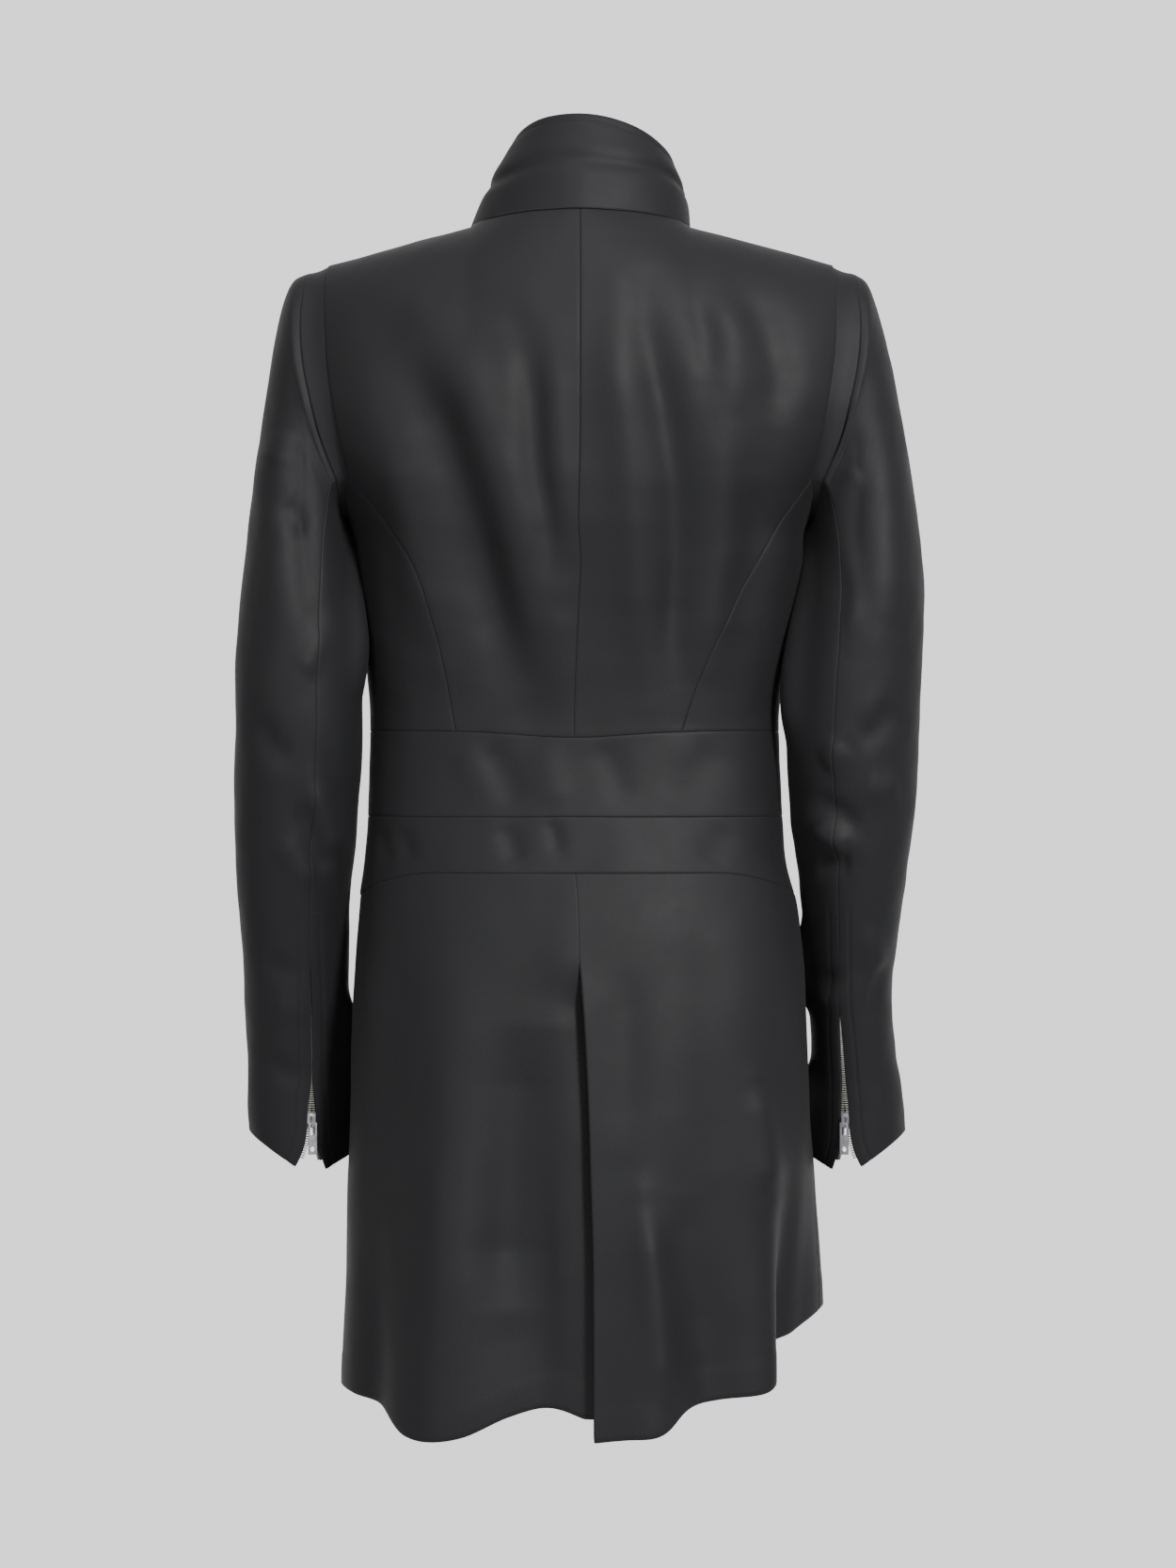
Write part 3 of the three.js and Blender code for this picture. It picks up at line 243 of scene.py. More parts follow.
# each edge of a panel's grid of points: its axis, its line, and the line three inside it
GRID_EDGES = {"first": (0, 0, 3), "last": (0, -1, -4), "start": (1, 0, 3), "end": (1, -1, -4)}
ALL_EDGES = tuple(GRID_EDGES)
IN_TURN = ("first", "end", "last", "start")


def linear(hex_colour):
    """A typed sRGB colour as the linear one that shaders take."""
    parts = [int(hex_colour[k : k + 2], 16) / 255 for k in (0, 2, 4)]
    return (*[c / 12.92 if c <= 0.04045 else ((c + 0.055) / 1.055) ** 2.4 for c in parts], 1)


def add_node(tree, kind, settings=None, inputs=None):
    """Adds a node with its settings. An input is a value, or another node's output to link.

    A mix node's inputs go by number, as several share a name: 0 is the share, 6 and 7 the two colours.
    """
    node = tree.nodes.new(kind)
    for name, value in (settings or {}).items():
        setattr(node, name, value)
    for name, value in (inputs or {}).items():
        if isinstance(value, bpy.types.NodeSocket):
            tree.links.new(value, node.inputs[name])
        else:
            node.inputs[name].default_value = value
    return node


COLOUR_MIX = {"data_type": "RGBA"}
# a wave texture's bands in a unit, at a scale of 1
BANDS_IN_UNIT = 3.2


def new_material(name):
    material = bpy.data.materials.new(name)
    material.use_nodes = True
    tree = material.node_tree
    tree.nodes.clear()
    return material, tree


def make_twill():
    material, tree = new_material("black_pressed_twill")
    uv = add_node(tree, "ShaderNodeUVMap", {"uv_map": "UVMap"}).outputs[0]
    # The rib is drawn at 1.1 mm, about twice the real one, so that a close view shows it.
    slanted = add_node(tree, "ShaderNodeMapping", inputs={"Vector": uv, "Rotation": (0, 0, math.radians(63))})
    bands = {"wave_type": "BANDS", "bands_direction": "X", "wave_profile": "SIN"}
    rib = add_node(tree, "ShaderNodeTexWave", bands, {
        "Vector": slanted.outputs[0], "Scale": 1 / (0.0011 * BANDS_IN_UNIT), "Distortion": 0.6, "Detail": 1.0,
        "Detail Scale": 2.0})
    slub = add_node(tree, "ShaderNodeTexNoise", inputs={"Vector": uv, "Scale": 900, "Detail": 2.0})
    cloud = add_node(tree, "ShaderNodeTexNoise", inputs={
        "Vector": uv, "Scale": 14, "Detail": 4.0, "Roughness": 0.6})
    shade = add_node(tree, "ShaderNodeMix", COLOUR_MIX, {
        0: cloud.outputs["Fac"], 6: linear("131314"), 7: linear("18181a")})
    yarn = add_node(tree, "ShaderNodeMix", COLOUR_MIX, {
        0: slub.outputs["Fac"], 6: linear("121213"), 7: linear("1b1b1d")})
    mixed = add_node(tree, "ShaderNodeMix", COLOUR_MIX, {0: 0.5, 6: shade.outputs[2], 7: yarn.outputs[2]})
    rough = add_node(tree, "ShaderNodeMapRange", inputs={
        "Value": cloud.outputs["Fac"], "From Min": 0.3, "From Max": 0.7, "To Min": 0.58, "To Max": 0.68})
    ribbed = add_node(tree, "ShaderNodeBump", inputs={
        "Height": rib.outputs["Fac"], "Strength": 0.25, "Distance": 0.0001})
    bumped = add_node(tree, "ShaderNodeBump", inputs={
        "Height": slub.outputs["Fac"], "Strength": 0.25, "Distance": 0.0002, "Normal": ribbed.outputs[0]})
    cloth = add_node(tree, "ShaderNodeBsdfPrincipled", inputs={
        "Base Color": mixed.outputs[2], "Roughness": rough.outputs[0], "Normal": bumped.outputs[0],
        "IOR": 1.48, "Specular IOR Level": 0.2, "Sheen Weight": 0.02, "Sheen Roughness": 0.5})
    add_node(tree, "ShaderNodeOutputMaterial", inputs={"Surface": cloth.outputs[0]})
    return material


twill = make_twill()


def grid_normals(points, outward):
    """Each point's normal from its neighbours in the grid, turned to the outside."""
    along = np.gradient(points, axis=0)
    across = np.gradient(points, axis=1)
    normals = np.cross(across, along)
    normals /= np.maximum(np.linalg.norm(normals, axis=-1, keepdims=True), 1e-9)
    flip = np.sign(np.mean(np.sum(normals * outward, axis=-1)))
    return normals * flip


def lengths_along(points, axis):
    step = np.linalg.norm(np.diff(points, axis=axis), axis=-1)
    pad = np.zeros_like(np.take(step, [0], axis=axis))
    return np.concatenate([pad, np.cumsum(step, axis=axis)], axis=axis)


def from_edge(points, edge):
    """How far each point of a panel is from one of its edges, along the cloth."""
    axis, at, _ = GRID_EDGES[edge]
    gone = lengths_along(points, axis)
    return np.take(gone, [at], axis) - gone if at else gone


def edge_lines(grid, inset=0):
    """A grid's four edges in turn round it, or the lines that far inside them."""
    return grid[inset], grid[:, -1 - inset], grid[-1 - inset][::-1], grid[:, inset][::-1]


def tightened(points, sewn):
    """Adds two lines of points close to each seam, so that the cloth can roll into it sharply."""
    for edge, (axis, at, _) in GRID_EDGES.items():
        if edge not in sewn:
            continue
        lines = np.moveaxis(points, axis, 0)
        lines = lines[::-1] if at else lines
        step = np.linalg.norm(lines[1] - lines[0], axis=-1).mean()
        extra = [mix(lines[0], lines[1], min(share, away / step)) for share, away in ROLL_LINES]
        lines = np.concatenate([lines[:1], extra, lines[1:]])
        lines = lines[::-1] if at else lines
        points = np.moveaxis(lines, 0, axis)
    return points


def rolled_into_seams(points, outward, sewn):
    """Sinks the cloth beside each seam, and draws its edge back by half the seam's gap."""
    ditch = sum(np.exp(-((from_edge(points, edge) / SEAM_WIDTH) ** 2)) for edge in sewn)
    points = points - grid_normals(points, outward) * (SEAM_DITCH * np.minimum(ditch, 1))[..., None]
    for edge, (axis, at, inside) in GRID_EDGES.items():
        if edge in sewn:
            lines = np.moveaxis(points, axis, 0)
            step = lines[inside] - lines[at]
            lines[at] += step / np.linalg.norm(step, axis=-1, keepdims=True) * SEAM_GAP / 2
    return points


def rim_middle(outer, inner, near, is_sewn, thickness):
    """The rounded middle of a panel's edge. In a seam it laps under its neighbour, which keeps light out."""
    away = outer - near
    length = np.maximum(np.linalg.norm(away, axis=-1, keepdims=True), 1e-9)
    reach = SEAM_GAP / 2 + SEAM_LAP if is_sewn else thickness * TURNED_EDGE
    return (outer + inner) / 2 + away / length * reach


def wall_mesh(points, inner, sewn, thickness):
    """The corner points and four-sided faces of a closed wall between two grids."""
    rows, columns = points.shape[:2]
    outer_id = np.arange(rows * columns).reshape(rows, columns)
    inner_id = outer_id + rows * columns
    faces = []

    def add_faces(a, b, c, d):
        faces.append(np.stack([a.ravel(), b.ravel(), c.ravel(), d.ravel()], axis=-1))

    add_faces(outer_id[:-1, :-1], outer_id[:-1, 1:], outer_id[1:, 1:], outer_id[1:, :-1])
    add_faces(inner_id[:-1, :-1], inner_id[1:, :-1], inner_id[1:, 1:], inner_id[:-1, 1:])
    edges = zip(edge_lines(points), edge_lines(inner), edge_lines(points, 1), IN_TURN)
    middles = [rim_middle(*lines, edge in sewn, thickness) for *lines, edge in edges]
    # Corners are shared by two edges, and take the mean of the two.
    corners = np.array([(middles[k][-1] + middles[(k + 1) % 4][0]) / 2 for k in range(4)])
    vertices = [points.reshape(-1, 3), inner.reshape(-1, 3), corners]
    corner_id = 2 * rows * columns + np.arange(4)
    count = 2 * rows * columns + 4
    for k, (outer_line, inner_line) in enumerate(zip(edge_lines(outer_id), edge_lines(inner_id))):
        inside = middles[k][1:-1]
        vertices.append(inside)
        middle_id = np.concatenate([[corner_id[k - 1]], count + np.arange(len(inside)), [corner_id[k]]])
        count += len(inside)
        add_faces(outer_line[:-1], middle_id[:-1], middle_id[1:], outer_line[1:])
        add_faces(middle_id[:-1], inner_line[:-1], inner_line[1:], middle_id[1:])
    return np.concatenate(vertices) / 1000, np.concatenate(faces)


def new_object(name, data):
    """Puts an object in the scene, at the origin."""
    made = bpy.data.objects.new(name, data)
    bpy.context.scene.collection.objects.link(made)
    return made


def face_outward(mesh):
    """Recalculates a closed shell's faces to point out of the cloth."""
    shell = bmesh.new()
    shell.from_mesh(mesh)
    bmesh.ops.recalc_face_normals(shell, faces=shell.faces)
    shell.to_mesh(mesh)
    shell.free()


finished_grids = {}


def sew_piece(node, points, outward, sewn, relief=None, thickness=CLOTH):
    """Makes a piece of twill in its solid's place from a grid of points.

    sewn names the edges that are in seams.
    """
    normals = grid_normals(points, outward)
    if relief is not None:
        points = points + normals * relief(points, normals)[..., None]
    points = tightened(points, sewn)
    if np.ndim(outward) > 1:
        outward = tightened(np.broadcast_to(outward, normals.shape), sewn)
    points = rolled_into_seams(points, outward, sewn)
    normals = grid_normals(points, outward)
    finished_grids[node] = (points, normals)
    vertices, quads = wall_mesh(points, points - normals * thickness, sewn, thickness)

    name = f"cloth_{node}"
    mesh = bpy.data.meshes.new(name)
    mesh.vertices.add(len(vertices))
    mesh.vertices.foreach_set("co", vertices.astype(np.float32).ravel())
    mesh.loops.add(quads.size)
    mesh.loops.foreach_set("vertex_index", quads.astype(np.int32).ravel())
    mesh.polygons.add(len(quads))
    mesh.polygons.foreach_set("loop_start", np.arange(0, quads.size, 4, dtype=np.int32))
    mesh.update(calc_edges=True)
    mesh.polygons.foreach_set("use_smooth", np.ones(len(quads), dtype=bool))
    across, down = lengths_along(points, 1), lengths_along(points, 0)
    flat_uv = np.stack([across, down], axis=-1).reshape(-1, 2) / 1000
    rim_uv = np.zeros((len(vertices) - 2 * len(flat_uv), 2))
    uv = np.concatenate([flat_uv, flat_uv, rim_uv])[quads.ravel()]
    mesh.uv_layers.new(name="UVMap").data.foreach_set("uv", uv.astype(np.float32).ravel())
    mesh.materials.append(twill)
    piece = new_object(name, mesh)
    face_outward(mesh)

    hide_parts(node)
    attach(piece, "coat")


# The creases that wear has put in the cloth
# The coat is pulled in at the waist and hangs from the shoulders, so soft folds run from the armholes to the
# waist and short ones cross the bands. Each is a line on the back, in millimetres across and up.
CREASES = [
    # points, how far out, half width
    (
        [
            (146, -96), (124, -132), (102, -170), (90, -204), (80, -238), (70, -276), (56, -320), (46, -352),
            (34, -386),
        ],
        -11,
        22,
    ),
    ([(108, -100), (82, -150), (64, -206), (48, -262), (32, -330), (18, -384)], 6.5, 20),
    ([(150, -160), (130, -220), (116, -280), (100, -340)], 4.5, 17),
    ([(46, -96), (38, -122), (34, -150), (32, -196), (22, -240), (14, -300)], -5.5, 11),
    ([(22, -100), (18, -180), (14, -260), (16, -360)], 3, 11),
    ([(-118, -62), (-136, -92), (-146, -130), (-142, -176)], -4.5, 14),
    ([(-100, -64), (-112, -110), (-112, -170)], 3, 13),
    ([(-84, -70), (-92, -104), (-94, -140)], -2.6, 9),
    ([(-46, -64), (-50, -104), (-62, -160), (-70, -210), (-72, -262), (-70, -320), (-76, -384)], -7.5, 13),
    ([(-96, -130), (-102, -190), (-104, -260), (-92, -330), (-84, -372)], 5, 17),
    ([(-30, -66), (-26, -130), (-34, -200), (-40, -290), (-48, -370)], 4, 14),
    ([(-132, -200), (-126, -260), (-114, -320)], -3, 15),
    ([(70, -398), (54, -426), (46, -452)], -3, 12),
    ([(30, -396), (22, -424), (16, -452)], 1.8, 13),
    ([(56, -458), (44, -490)], -2.6, 9),
    ([(22, -456), (15, -482)], -2, 6),
    ([(88, -400), (76, -424), (66, -452)], 1.6, 12),
    ([(-14, -396), (-26, -424), (-34, -450)], -2, 12),
    ([(134, -462), (124, -490)], -1.8, 7),
    ([(148, -464), (142, -492)], -1.6, 6),
    ([(-104, -398), (-84, -424), (-72, -450)], -1.8, 14),
    ([(-112, -460), (-92, -492)], -1.8, 13),
]


def line_distance(x, z, line):
    """How far each place is from a line, and the share of the way along it."""
    best = np.full(x.shape, 1e9)
    share = np.zeros(x.shape)
    line = np.asarray(line, float)
    steps = np.linalg.norm(np.diff(line, axis=0), axis=1)
    gone = np.concatenate([[0], np.cumsum(steps)]) / steps.sum()
    for k, (start, end) in enumerate(zip(line[:-1], line[1:])):
        run = end - start
        t = np.clip(((x - start[0]) * run[0] + (z - start[1]) * run[1]) / (run @ run), 0, 1)
        away = np.hypot(x - start[0] - t * run[0], z - start[1] - t * run[1])
        nearer = away < best
        best = np.where(nearer, away, best)
        share = np.where(nearer, gone[k] + t * (gone[k + 1] - gone[k]), share)
    return best, share


def creased(x, z, creases):
    out = np.zeros(x.shape)
    for line, depth, width in creases:
        away, share = line_distance(x, z, line)
        tapered = np.clip(4 * share, 0.25, 1) * np.clip(4 * (1 - share), 0.25, 1)
        out += depth * tapered * np.exp(-((away / width) ** 2))
    return out


def hand_waver(x, y, z, size, seed):
    """Slow, shallow waver, as no pressed cloth hangs quite true. size is its length in millimetres."""
    rng = np.random.default_rng(seed)
    out = np.zeros(np.broadcast(x, z).shape)
    for _ in range(7):
        direction = rng.normal(size=3)
        direction /= np.linalg.norm(direction)
        wave = 2 * math.pi / (size * rng.uniform(0.6, 1.6))
        along = direction[0] * x + direction[1] * y + direction[2] * z
        out = out + np.sin(wave * along + rng.uniform(0, 6.3))
    return out / 7


def body_relief(points, normals):
    x, y, z = points[..., 0], points[..., 1], points[..., 2]
    behind = smooth_between(-10, 30, y)
    out = creased(x, z, CREASES) * behind
    out += 0.9 * hand_waver(x, y, z, 95, 3) + 0.45 * hand_waver(x, y, z, 38, 5)
    return out


# The bodice
# Four back and four front panels of twill, cut to the figure with curved princess seams and sewn edge to
# edge. The right front laps over the left.
PRINCESS_BACK = {
    LEFT: [
        (-391.5, 87.5), (-347, 96.6), (-318, 104.7), (-283, 116), (-256, 129.2), (-229, 149.3), (-206, 172),
    ],
    RIGHT: [
        (-391.5, 79.5), (-356, 90.3), (-329, 100.4), (-304, 112.4), (-274, 128), (-243, 146.7), (-206, 172),
    ],
}
PRINCESS_FRONT = [(-391.5, 78), (-350, 84), (-316, 92), (-275, 106), (-245, 122), (-224, 140), (-206, 166)]
ARMHOLE = {
    BACK: [(-206, 172), (-180, 178), (-150, 183), (-120, 187.5), (-85, 190), (-40, 190)],
    FRONT: [(-206, 166), (-180, 168), (-150, 171), (-120, 177), (-85, 185), (-40, 190)],
}
# how far the fronts lap past the middle, how far out the right one lies, and where it comes in again
FRONT_LAP, LAP_LIFT, LAP_FLAT, LAP_DOWN = 18, 2.1, 26, 62
LOWER_SHARE = 0.55
princess_x = {(side, BACK): curve_through(*zip(*rows)) for side, rows in PRINCESS_BACK.items()}
princess_x.update({(side, FRONT): curve_through(*zip(*PRINCESS_FRONT)) for side in (LEFT, RIGHT)})
armhole_x = {face: curve_through(*zip(*rows)) for face, rows in ARMHOLE.items()}


def front_lift(side, across):
    return 0 if side == LEFT else LAP_LIFT * (1 - smooth_between(LAP_FLAT, LAP_DOWN, across))


def front_lap_angle(z):
    return FRONT_LAP / body_front(z)


def panel_edge(z, side, face):
    across = np.where(z <= JOIN_Z, princess_x[side, face](z), armhole_x[face](z))
    return angle_across(across, z, face)


def lifted_front(points, side):
    """Lifts the lapping front clear of the one beneath."""
    outward = np.array([0, -1, 0.2])
    normals = grid_normals(points, outward)
    across = side * (points[..., 0] - body_shift(points[..., 2]))
    return points + normals * np.broadcast_to(front_lift(side, across), points.shape[:2])[..., None]


def centre_panel(side, face):
    xs = np.concatenate([np.linspace(0, NECK_X, 24), np.linspace(NECK_X, TIP_X, 28)[1:]])
    tops = np.where(xs < NECK_X, neckline_z(xs, face), shoulder_z(xs))
    tip_angle = angle_across(TIP_X, TIP_Z, face)
    shares = angle_across(xs, tops, face) / tip_angle
    lower = np.linspace(0, LOWER_SHARE, 50)
    # The rows are closer towards the shoulder, where the panel turns over.
    upper = mix(LOWER_SHARE, 1, 1 - np.linspace(1, 0, 60) ** 1.7)[1:]
    t = np.concatenate([lower, upper])[:, None]
    edge = panel_edge(mix(WAIST_Z, TIP_Z, t), side, face)
    z = mix(WAIST_Z, tops[None, :], t)
    angle = edge * shares[None, :]
    if face == FRONT:
        laps = np.linspace(1, 0, 6)[None, :-1]
        z = np.concatenate([np.repeat(z[:, :1], 5, axis=1), z], axis=1)
        angle = np.concatenate([-front_lap_angle(z[:, :1]) * laps, angle], axis=1)
    points = body_points(turned(angle, side, face), z)
    return lifted_front(points, side) if face == FRONT else points


def side_panel(side, face):
    t = np.linspace(0, (JOIN_Z - WAIST_Z) / (TIP_Z - WAIST_Z), 56)[:, None]
    s = np.linspace(0, 1, 28)[None, :]
    seam_z = mix(WAIST_Z, TIP_Z, t)
    climb = t / t.max()
    z = mix(seam_z, mix(WAIST_Z, UNDERARM_Z, climb), np.sin(s * math.pi / 2))
    return body_points(turned(mix(panel_edge(seam_z, side, face), math.pi / 2, s), side, face), z)


for side in (LEFT, RIGHT):
    for face in (BACK, FRONT):
        name = f"{FACE_NAMES[face]}_{SIDE_NAMES[side]}"
        sewn = ALL_EDGES if face == BACK else ("first", "last", "end")
        outward = np.array([0.3 * side, face, 0.3])
        sew_piece(name, centre_panel(side, face), outward, sewn, body_relief)
        outward = np.array([side, 0.4 * face, 0])
        sew_piece(f"side_{name}", side_panel(side, face), outward, ALL_EDGES, body_relief)


# The waist band and the hip band
# Two shaped bands of twill between the bodice and the skirt, each a back and two lapped fronts.
def band(angles, top, bottom):
    t = np.linspace(0, 1, 20)[:, None]
    return body_points(angles[None, :], mix(bottom(angles)[None, :], top(angles)[None, :], t))


for name, top, bottom in (
    ("waist_band", lambda a: WAIST_Z + 0 * a, lambda a: HIP_Z + 0 * a),
    ("hip_band", lambda a: HIP_Z + 0 * a, skirt_seam_z),
):
    angles = np.linspace(-math.pi / 2, math.pi / 2, 121)
    points = band(angles, top, bottom)
    outward = np.array([0, 1, 0])
    sew_piece(f"{name}_back", points, outward, ALL_EDGES, body_relief)
    for side in (LEFT, RIGHT):
        lap = front_lap_angle(WAIST_Z)
        angles = np.concatenate([np.linspace(-lap, 0, 6)[:-1], np.linspace(0, math.pi / 2, 62)])
        points = lifted_front(band(turned(angles, side, FRONT), top, bottom), side)
        front = f"front_{SIDE_NAMES[side]}"
        outward = np.array([0, -1, 0])
        sew_piece(f"{name}_{front}", points, outward, ("first", "last", "end"), body_relief)


# The skirt
# Two backs and two fronts of twill that flare to a hem turned up and pressed. The backs lap below the
# top of the centre back vent, the right over the left.
VENT_SWING, SWING_OVER = 10, 90
VENT_UNDERLAP, UNDERLAP_FROM, UNDERLAP_OVER = 44, 12, 50
VENT_LIFT = {RIGHT: 3, LEFT: -9}
VENT_EASE = 40
TURNED_HEM, HEM_STEP = 22, 0.35


def vent_edge(side, z):
    """Where a skirt back ends at the vent: the right one swings a little over, the left one runs beneath."""
    below = np.maximum(0, VENT_TOP_Z - z)
    if side == RIGHT:
        return VENT_SWING * (1 - np.exp(-below / SWING_OVER)) / body_back(z)
    return -VENT_UNDERLAP * smooth((below - UNDERLAP_FROM) / UNDERLAP_OVER) / body_back(z)


def vent_lift(side, across, z):
    near = 1 - smooth_between(0, VENT_EASE, across)
    return VENT_LIFT[side] * smooth((VENT_TOP_Z - z) / VENT_EASE) * near


def skirt_back(side):
    t = np.linspace(0, 1, 110)[:, None]
    s = (np.linspace(0, 1, 84) ** 1.12)[None, :]
    edge = vent_edge(side, mix(SKIRT_SEAM_Z, hem_z(0.0, side), t))
    angle = side * mix(edge, math.pi / 2, s)
    z = mix(skirt_seam_z(angle), hem_z(angle, side), t)
    points = body_points(angle, z)
    normals = grid_normals(points, np.array([0.3 * side, 1, 0]))
    lift = vent_lift(side, side * (points[..., 0] - body_shift(z)), z)
    return points + normals * lift[..., None]


def skirt_front(side):
    t = np.linspace(0, 1, 100)[:, None]
    local = np.linspace(0, math.pi / 2, 76)
    angle = turned(local, side, FRONT)[None, :]
    middle_z = mix(skirt_seam_z(math.pi), hem_z(math.pi, side), t)
    laps = turned(-front_lap_angle(middle_z) * np.linspace(1, 0, 6)[None, :-1], side, FRONT)
    angle = np.concatenate([laps, np.repeat(angle, len(t), axis=0)], axis=1)
    z = mix(skirt_seam_z(angle), hem_z(angle, side), t)
    return lifted_front(body_points(angle, z), side)


SKIRT_CREASES = [
    ([(93, -520), (92, -600), (94, -745), (92, -878)], 4, 24),
    ([(36, -590), (44, -680), (50, -760), (50, -826)], -11, 26),
    ([(8, -516), (14, -592), (10, -687), (10, -876)], 4, 15),
    ([(-44, -725), (-52, -785), (-58, -840), (-61, -890)], 6, 11),
    ([(-74, -720), (-80, -800), (-84, -850)], -3, 14),
    ([(-128, -646), (-135, -690), (-139, -735)], 5, 10),
    ([(-29, -554), (-34, -630), (-30, -706)], -2.5, 17),
    ([(-91, -535), (-95, -630), (-100, -725)], -2.5, 20),
    ([(133, -535), (139, -630), (143, -745)], -3, 16),
]


def skirt_relief(points, normals):
    x, y, z = points[..., 0], points[..., 1], points[..., 2]
    out = creased(x, z, SKIRT_CREASES) * smooth_between(0, 40, y)
    # The turned hem makes a shallow step where its upper edge ends.
    out += HEM_STEP * smooth_between(TURNED_HEM + 2, TURNED_HEM - 2, from_edge(points, "last"))
    return out + 1.0 * hand_waver(x, y, z, 120, 8) + 0.4 * hand_waver(x, y, z, 45, 9)


for side in (LEFT, RIGHT):
    for part, cut, face, above in (
        ("back", skirt_back, BACK, "hip_band_back"),
        ("front", skirt_front, FRONT, f"hip_band_front_{SIDE_NAMES[side]}"),
    ):
        name = f"skirt_{part}_{SIDE_NAMES[side]}"
        outward = np.array([0.3 * side, face, 0])
        sew_piece(name, cut(side), outward, ("first", "end"), skirt_relief)


# The collar
# A high funnel collar of doubled twill, sewn to the neckline, lapped at the front and stitched 6 mm below
# its folded top edge. It has slumped a little, so a crease crosses it half way up.
COLLAR_CLOTH = 2.4
COLLAR_STITCH = 6
COLLAR_LAP, LAP_OVER, LAP_UNDER = math.radians(12.5), 2.2, 1
COLLAR_MIDDLE = (-10, -8, 40)
COLLAR_HALF = (61, 54)
# how far its top edge rises to the left and at the back
COLLAR_RISE = (8, 26)
CREASE_AT, CREASE_WIDTH = 0.51, 0.075


def collar_feet(angle):
    """The neckline, as the collar's seam follows it."""
    x = NECK_X * np.sin(angle)
    back = neckline_z(x, BACK)
    front = neckline_z(x, FRONT)
    behind = np.cos(angle) >= 0
    z = np.where(behind, back, front)
    a_back = angle_across(np.abs(x), back, BACK)
    a_front = math.pi - angle_across(np.abs(x), front, FRONT)
    turn = np.where(x < 0, -1, 1) * np.where(behind, a_back, a_front)
    return body_points(turn, np.minimum(z, shoulder_z(x)))


def collar_points():
    angle = np.linspace(-math.pi - COLLAR_LAP, math.pi + COLLAR_LAP, 260)[None, :]
    t = np.linspace(0, 1, 46)[:, None]
    feet = collar_feet(angle[0])[None, :, :]
    top = np.stack(
        [
            COLLAR_MIDDLE[0] + COLLAR_HALF[0] * np.sin(angle),
            COLLAR_MIDDLE[1] + COLLAR_HALF[1] * np.cos(angle),
            COLLAR_MIDDLE[2] + COLLAR_RISE[0] * np.sin(angle) + COLLAR_RISE[1] * np.cos(angle),
        ],
        axis=-1,
    )
    crease_at = CREASE_AT - 0.06 * np.sin(angle) * (np.cos(angle) > 0) + 0.02 * np.sin(5 * angle)
    crease = np.exp(-(((t - crease_at) / CREASE_WIDTH) ** 2))
    above = np.exp(-(((t - crease_at - 0.16) / 0.1) ** 2))
    lapped = smooth_between(math.pi - 3 * COLLAR_LAP, math.pi - COLLAR_LAP, np.abs(angle))
    lap = lapped * np.where(angle < 0, LAP_OVER + LAP_LIFT, -LAP_UNDER)
    out = 3 * np.sin(math.pi * t) - 2 * crease + 0.7 * above + lap
    outward = np.stack([np.sin(angle), np.cos(angle), 0 * angle], axis=-1)
    return mix(feet, top, t[..., None]) + outward * out[..., None] - np.array([0, 0, SEAM_GAP])


def collar_relief(points, normals):
    x, y, z = points[..., 0], points[..., 1], points[..., 2]
    stitched = np.exp(-((from_edge(points, "last") - COLLAR_STITCH) ** 2))
    return -0.5 * stitched + 0.6 * hand_waver(x, y, z, 42, 12)


collar_grid = collar_points()
centre = np.array([-5, -8, 0])
outward = (collar_grid - centre) * np.array([1, 1, 0])
sew_piece("collar", collar_grid, outward, ("first",), collar_relief, COLLAR_CLOTH)


# The sleeves and the armhole bands
# Two-piece sleeves of twill, set in a narrow band that is let into each armhole. The back seam is open at the
# cuff, where a zip closes it, and the cuff drops to a point each side of the zip.
# outer x and z, inner x and z, middle forward or back, half depth; one row for each ring down the arm
SLEEVE_RINGS = {
    LEFT: [
        (206, -43, 172, -241, -3, 58),
        (216, -49, 172.8, -245, -3, 61),
        (223, -64, 172, -250, -3, 62.5),
        (229, -90, 171, -257, -1, 63.5),
        (234, -124, 170, -266, 3, 64),
        (240, -170, 169.2, -281, 9, 64),
        (246, -222, 166.8, -303, 16, 63),
        (252.5, -278, 163.8, -332, 23, 62),
        (257, -335, 163.2, -366, 25, 60.5),
        (258.5, -394, 163.1, -408, 23, 58.5),
        (259.5, -450, 167, -455, 15, 56),
        (258.5, -503, 172, -503, 4, 53.5),
        (256, -550, 175, -550, -8, 51),
        (254.5, -595, 175.5, -595, -19, 49),
        (253.5, -635, 176, -635, -28, 47.5),
        (253.5, -667, 177, -667, -34, 46.5),
        (253, -694, 178.5, -697, -39, 46),
    ],
    RIGHT: [
        (205, -43, 172.6, -241, -3, 58),
        (214.5, -50, 172.4, -245, -3, 61),
        (221, -65, 171.6, -250, -3, 62.5),
        (228, -91, 171, -257, -1, 63.5),
        (235, -124, 170.4, -266, 3, 64),
        (243.5, -170, 169, -281, 9, 64),
        (251, -222, 165.6, -303, 16, 63),
        (256.5, -278, 160.6, -332, 23, 62),
        (256, -335, 156, -366, 25, 60.5),
        (253.5, -394, 154.4, -408, 23, 58.5),
        (250.5, -450, 157.5, -455, 15, 56),
        (245, -503, 164.5, -503, 4, 53.5),
        (239.5, -550, 170, -550, -8, 51),
        (236, -595, 173, -595, -19, 49),
        (240, -635, 175, -635, -28, 47.5),
        (245.5, -667, 176, -667, -34, 46.5),
        (248, -694, 177, -697, -39, 46),
    ],
}
ARMHOLE_STEPS = [-40, -42, -47.5, -58, -74, -96, -122, -150, -180, -206]
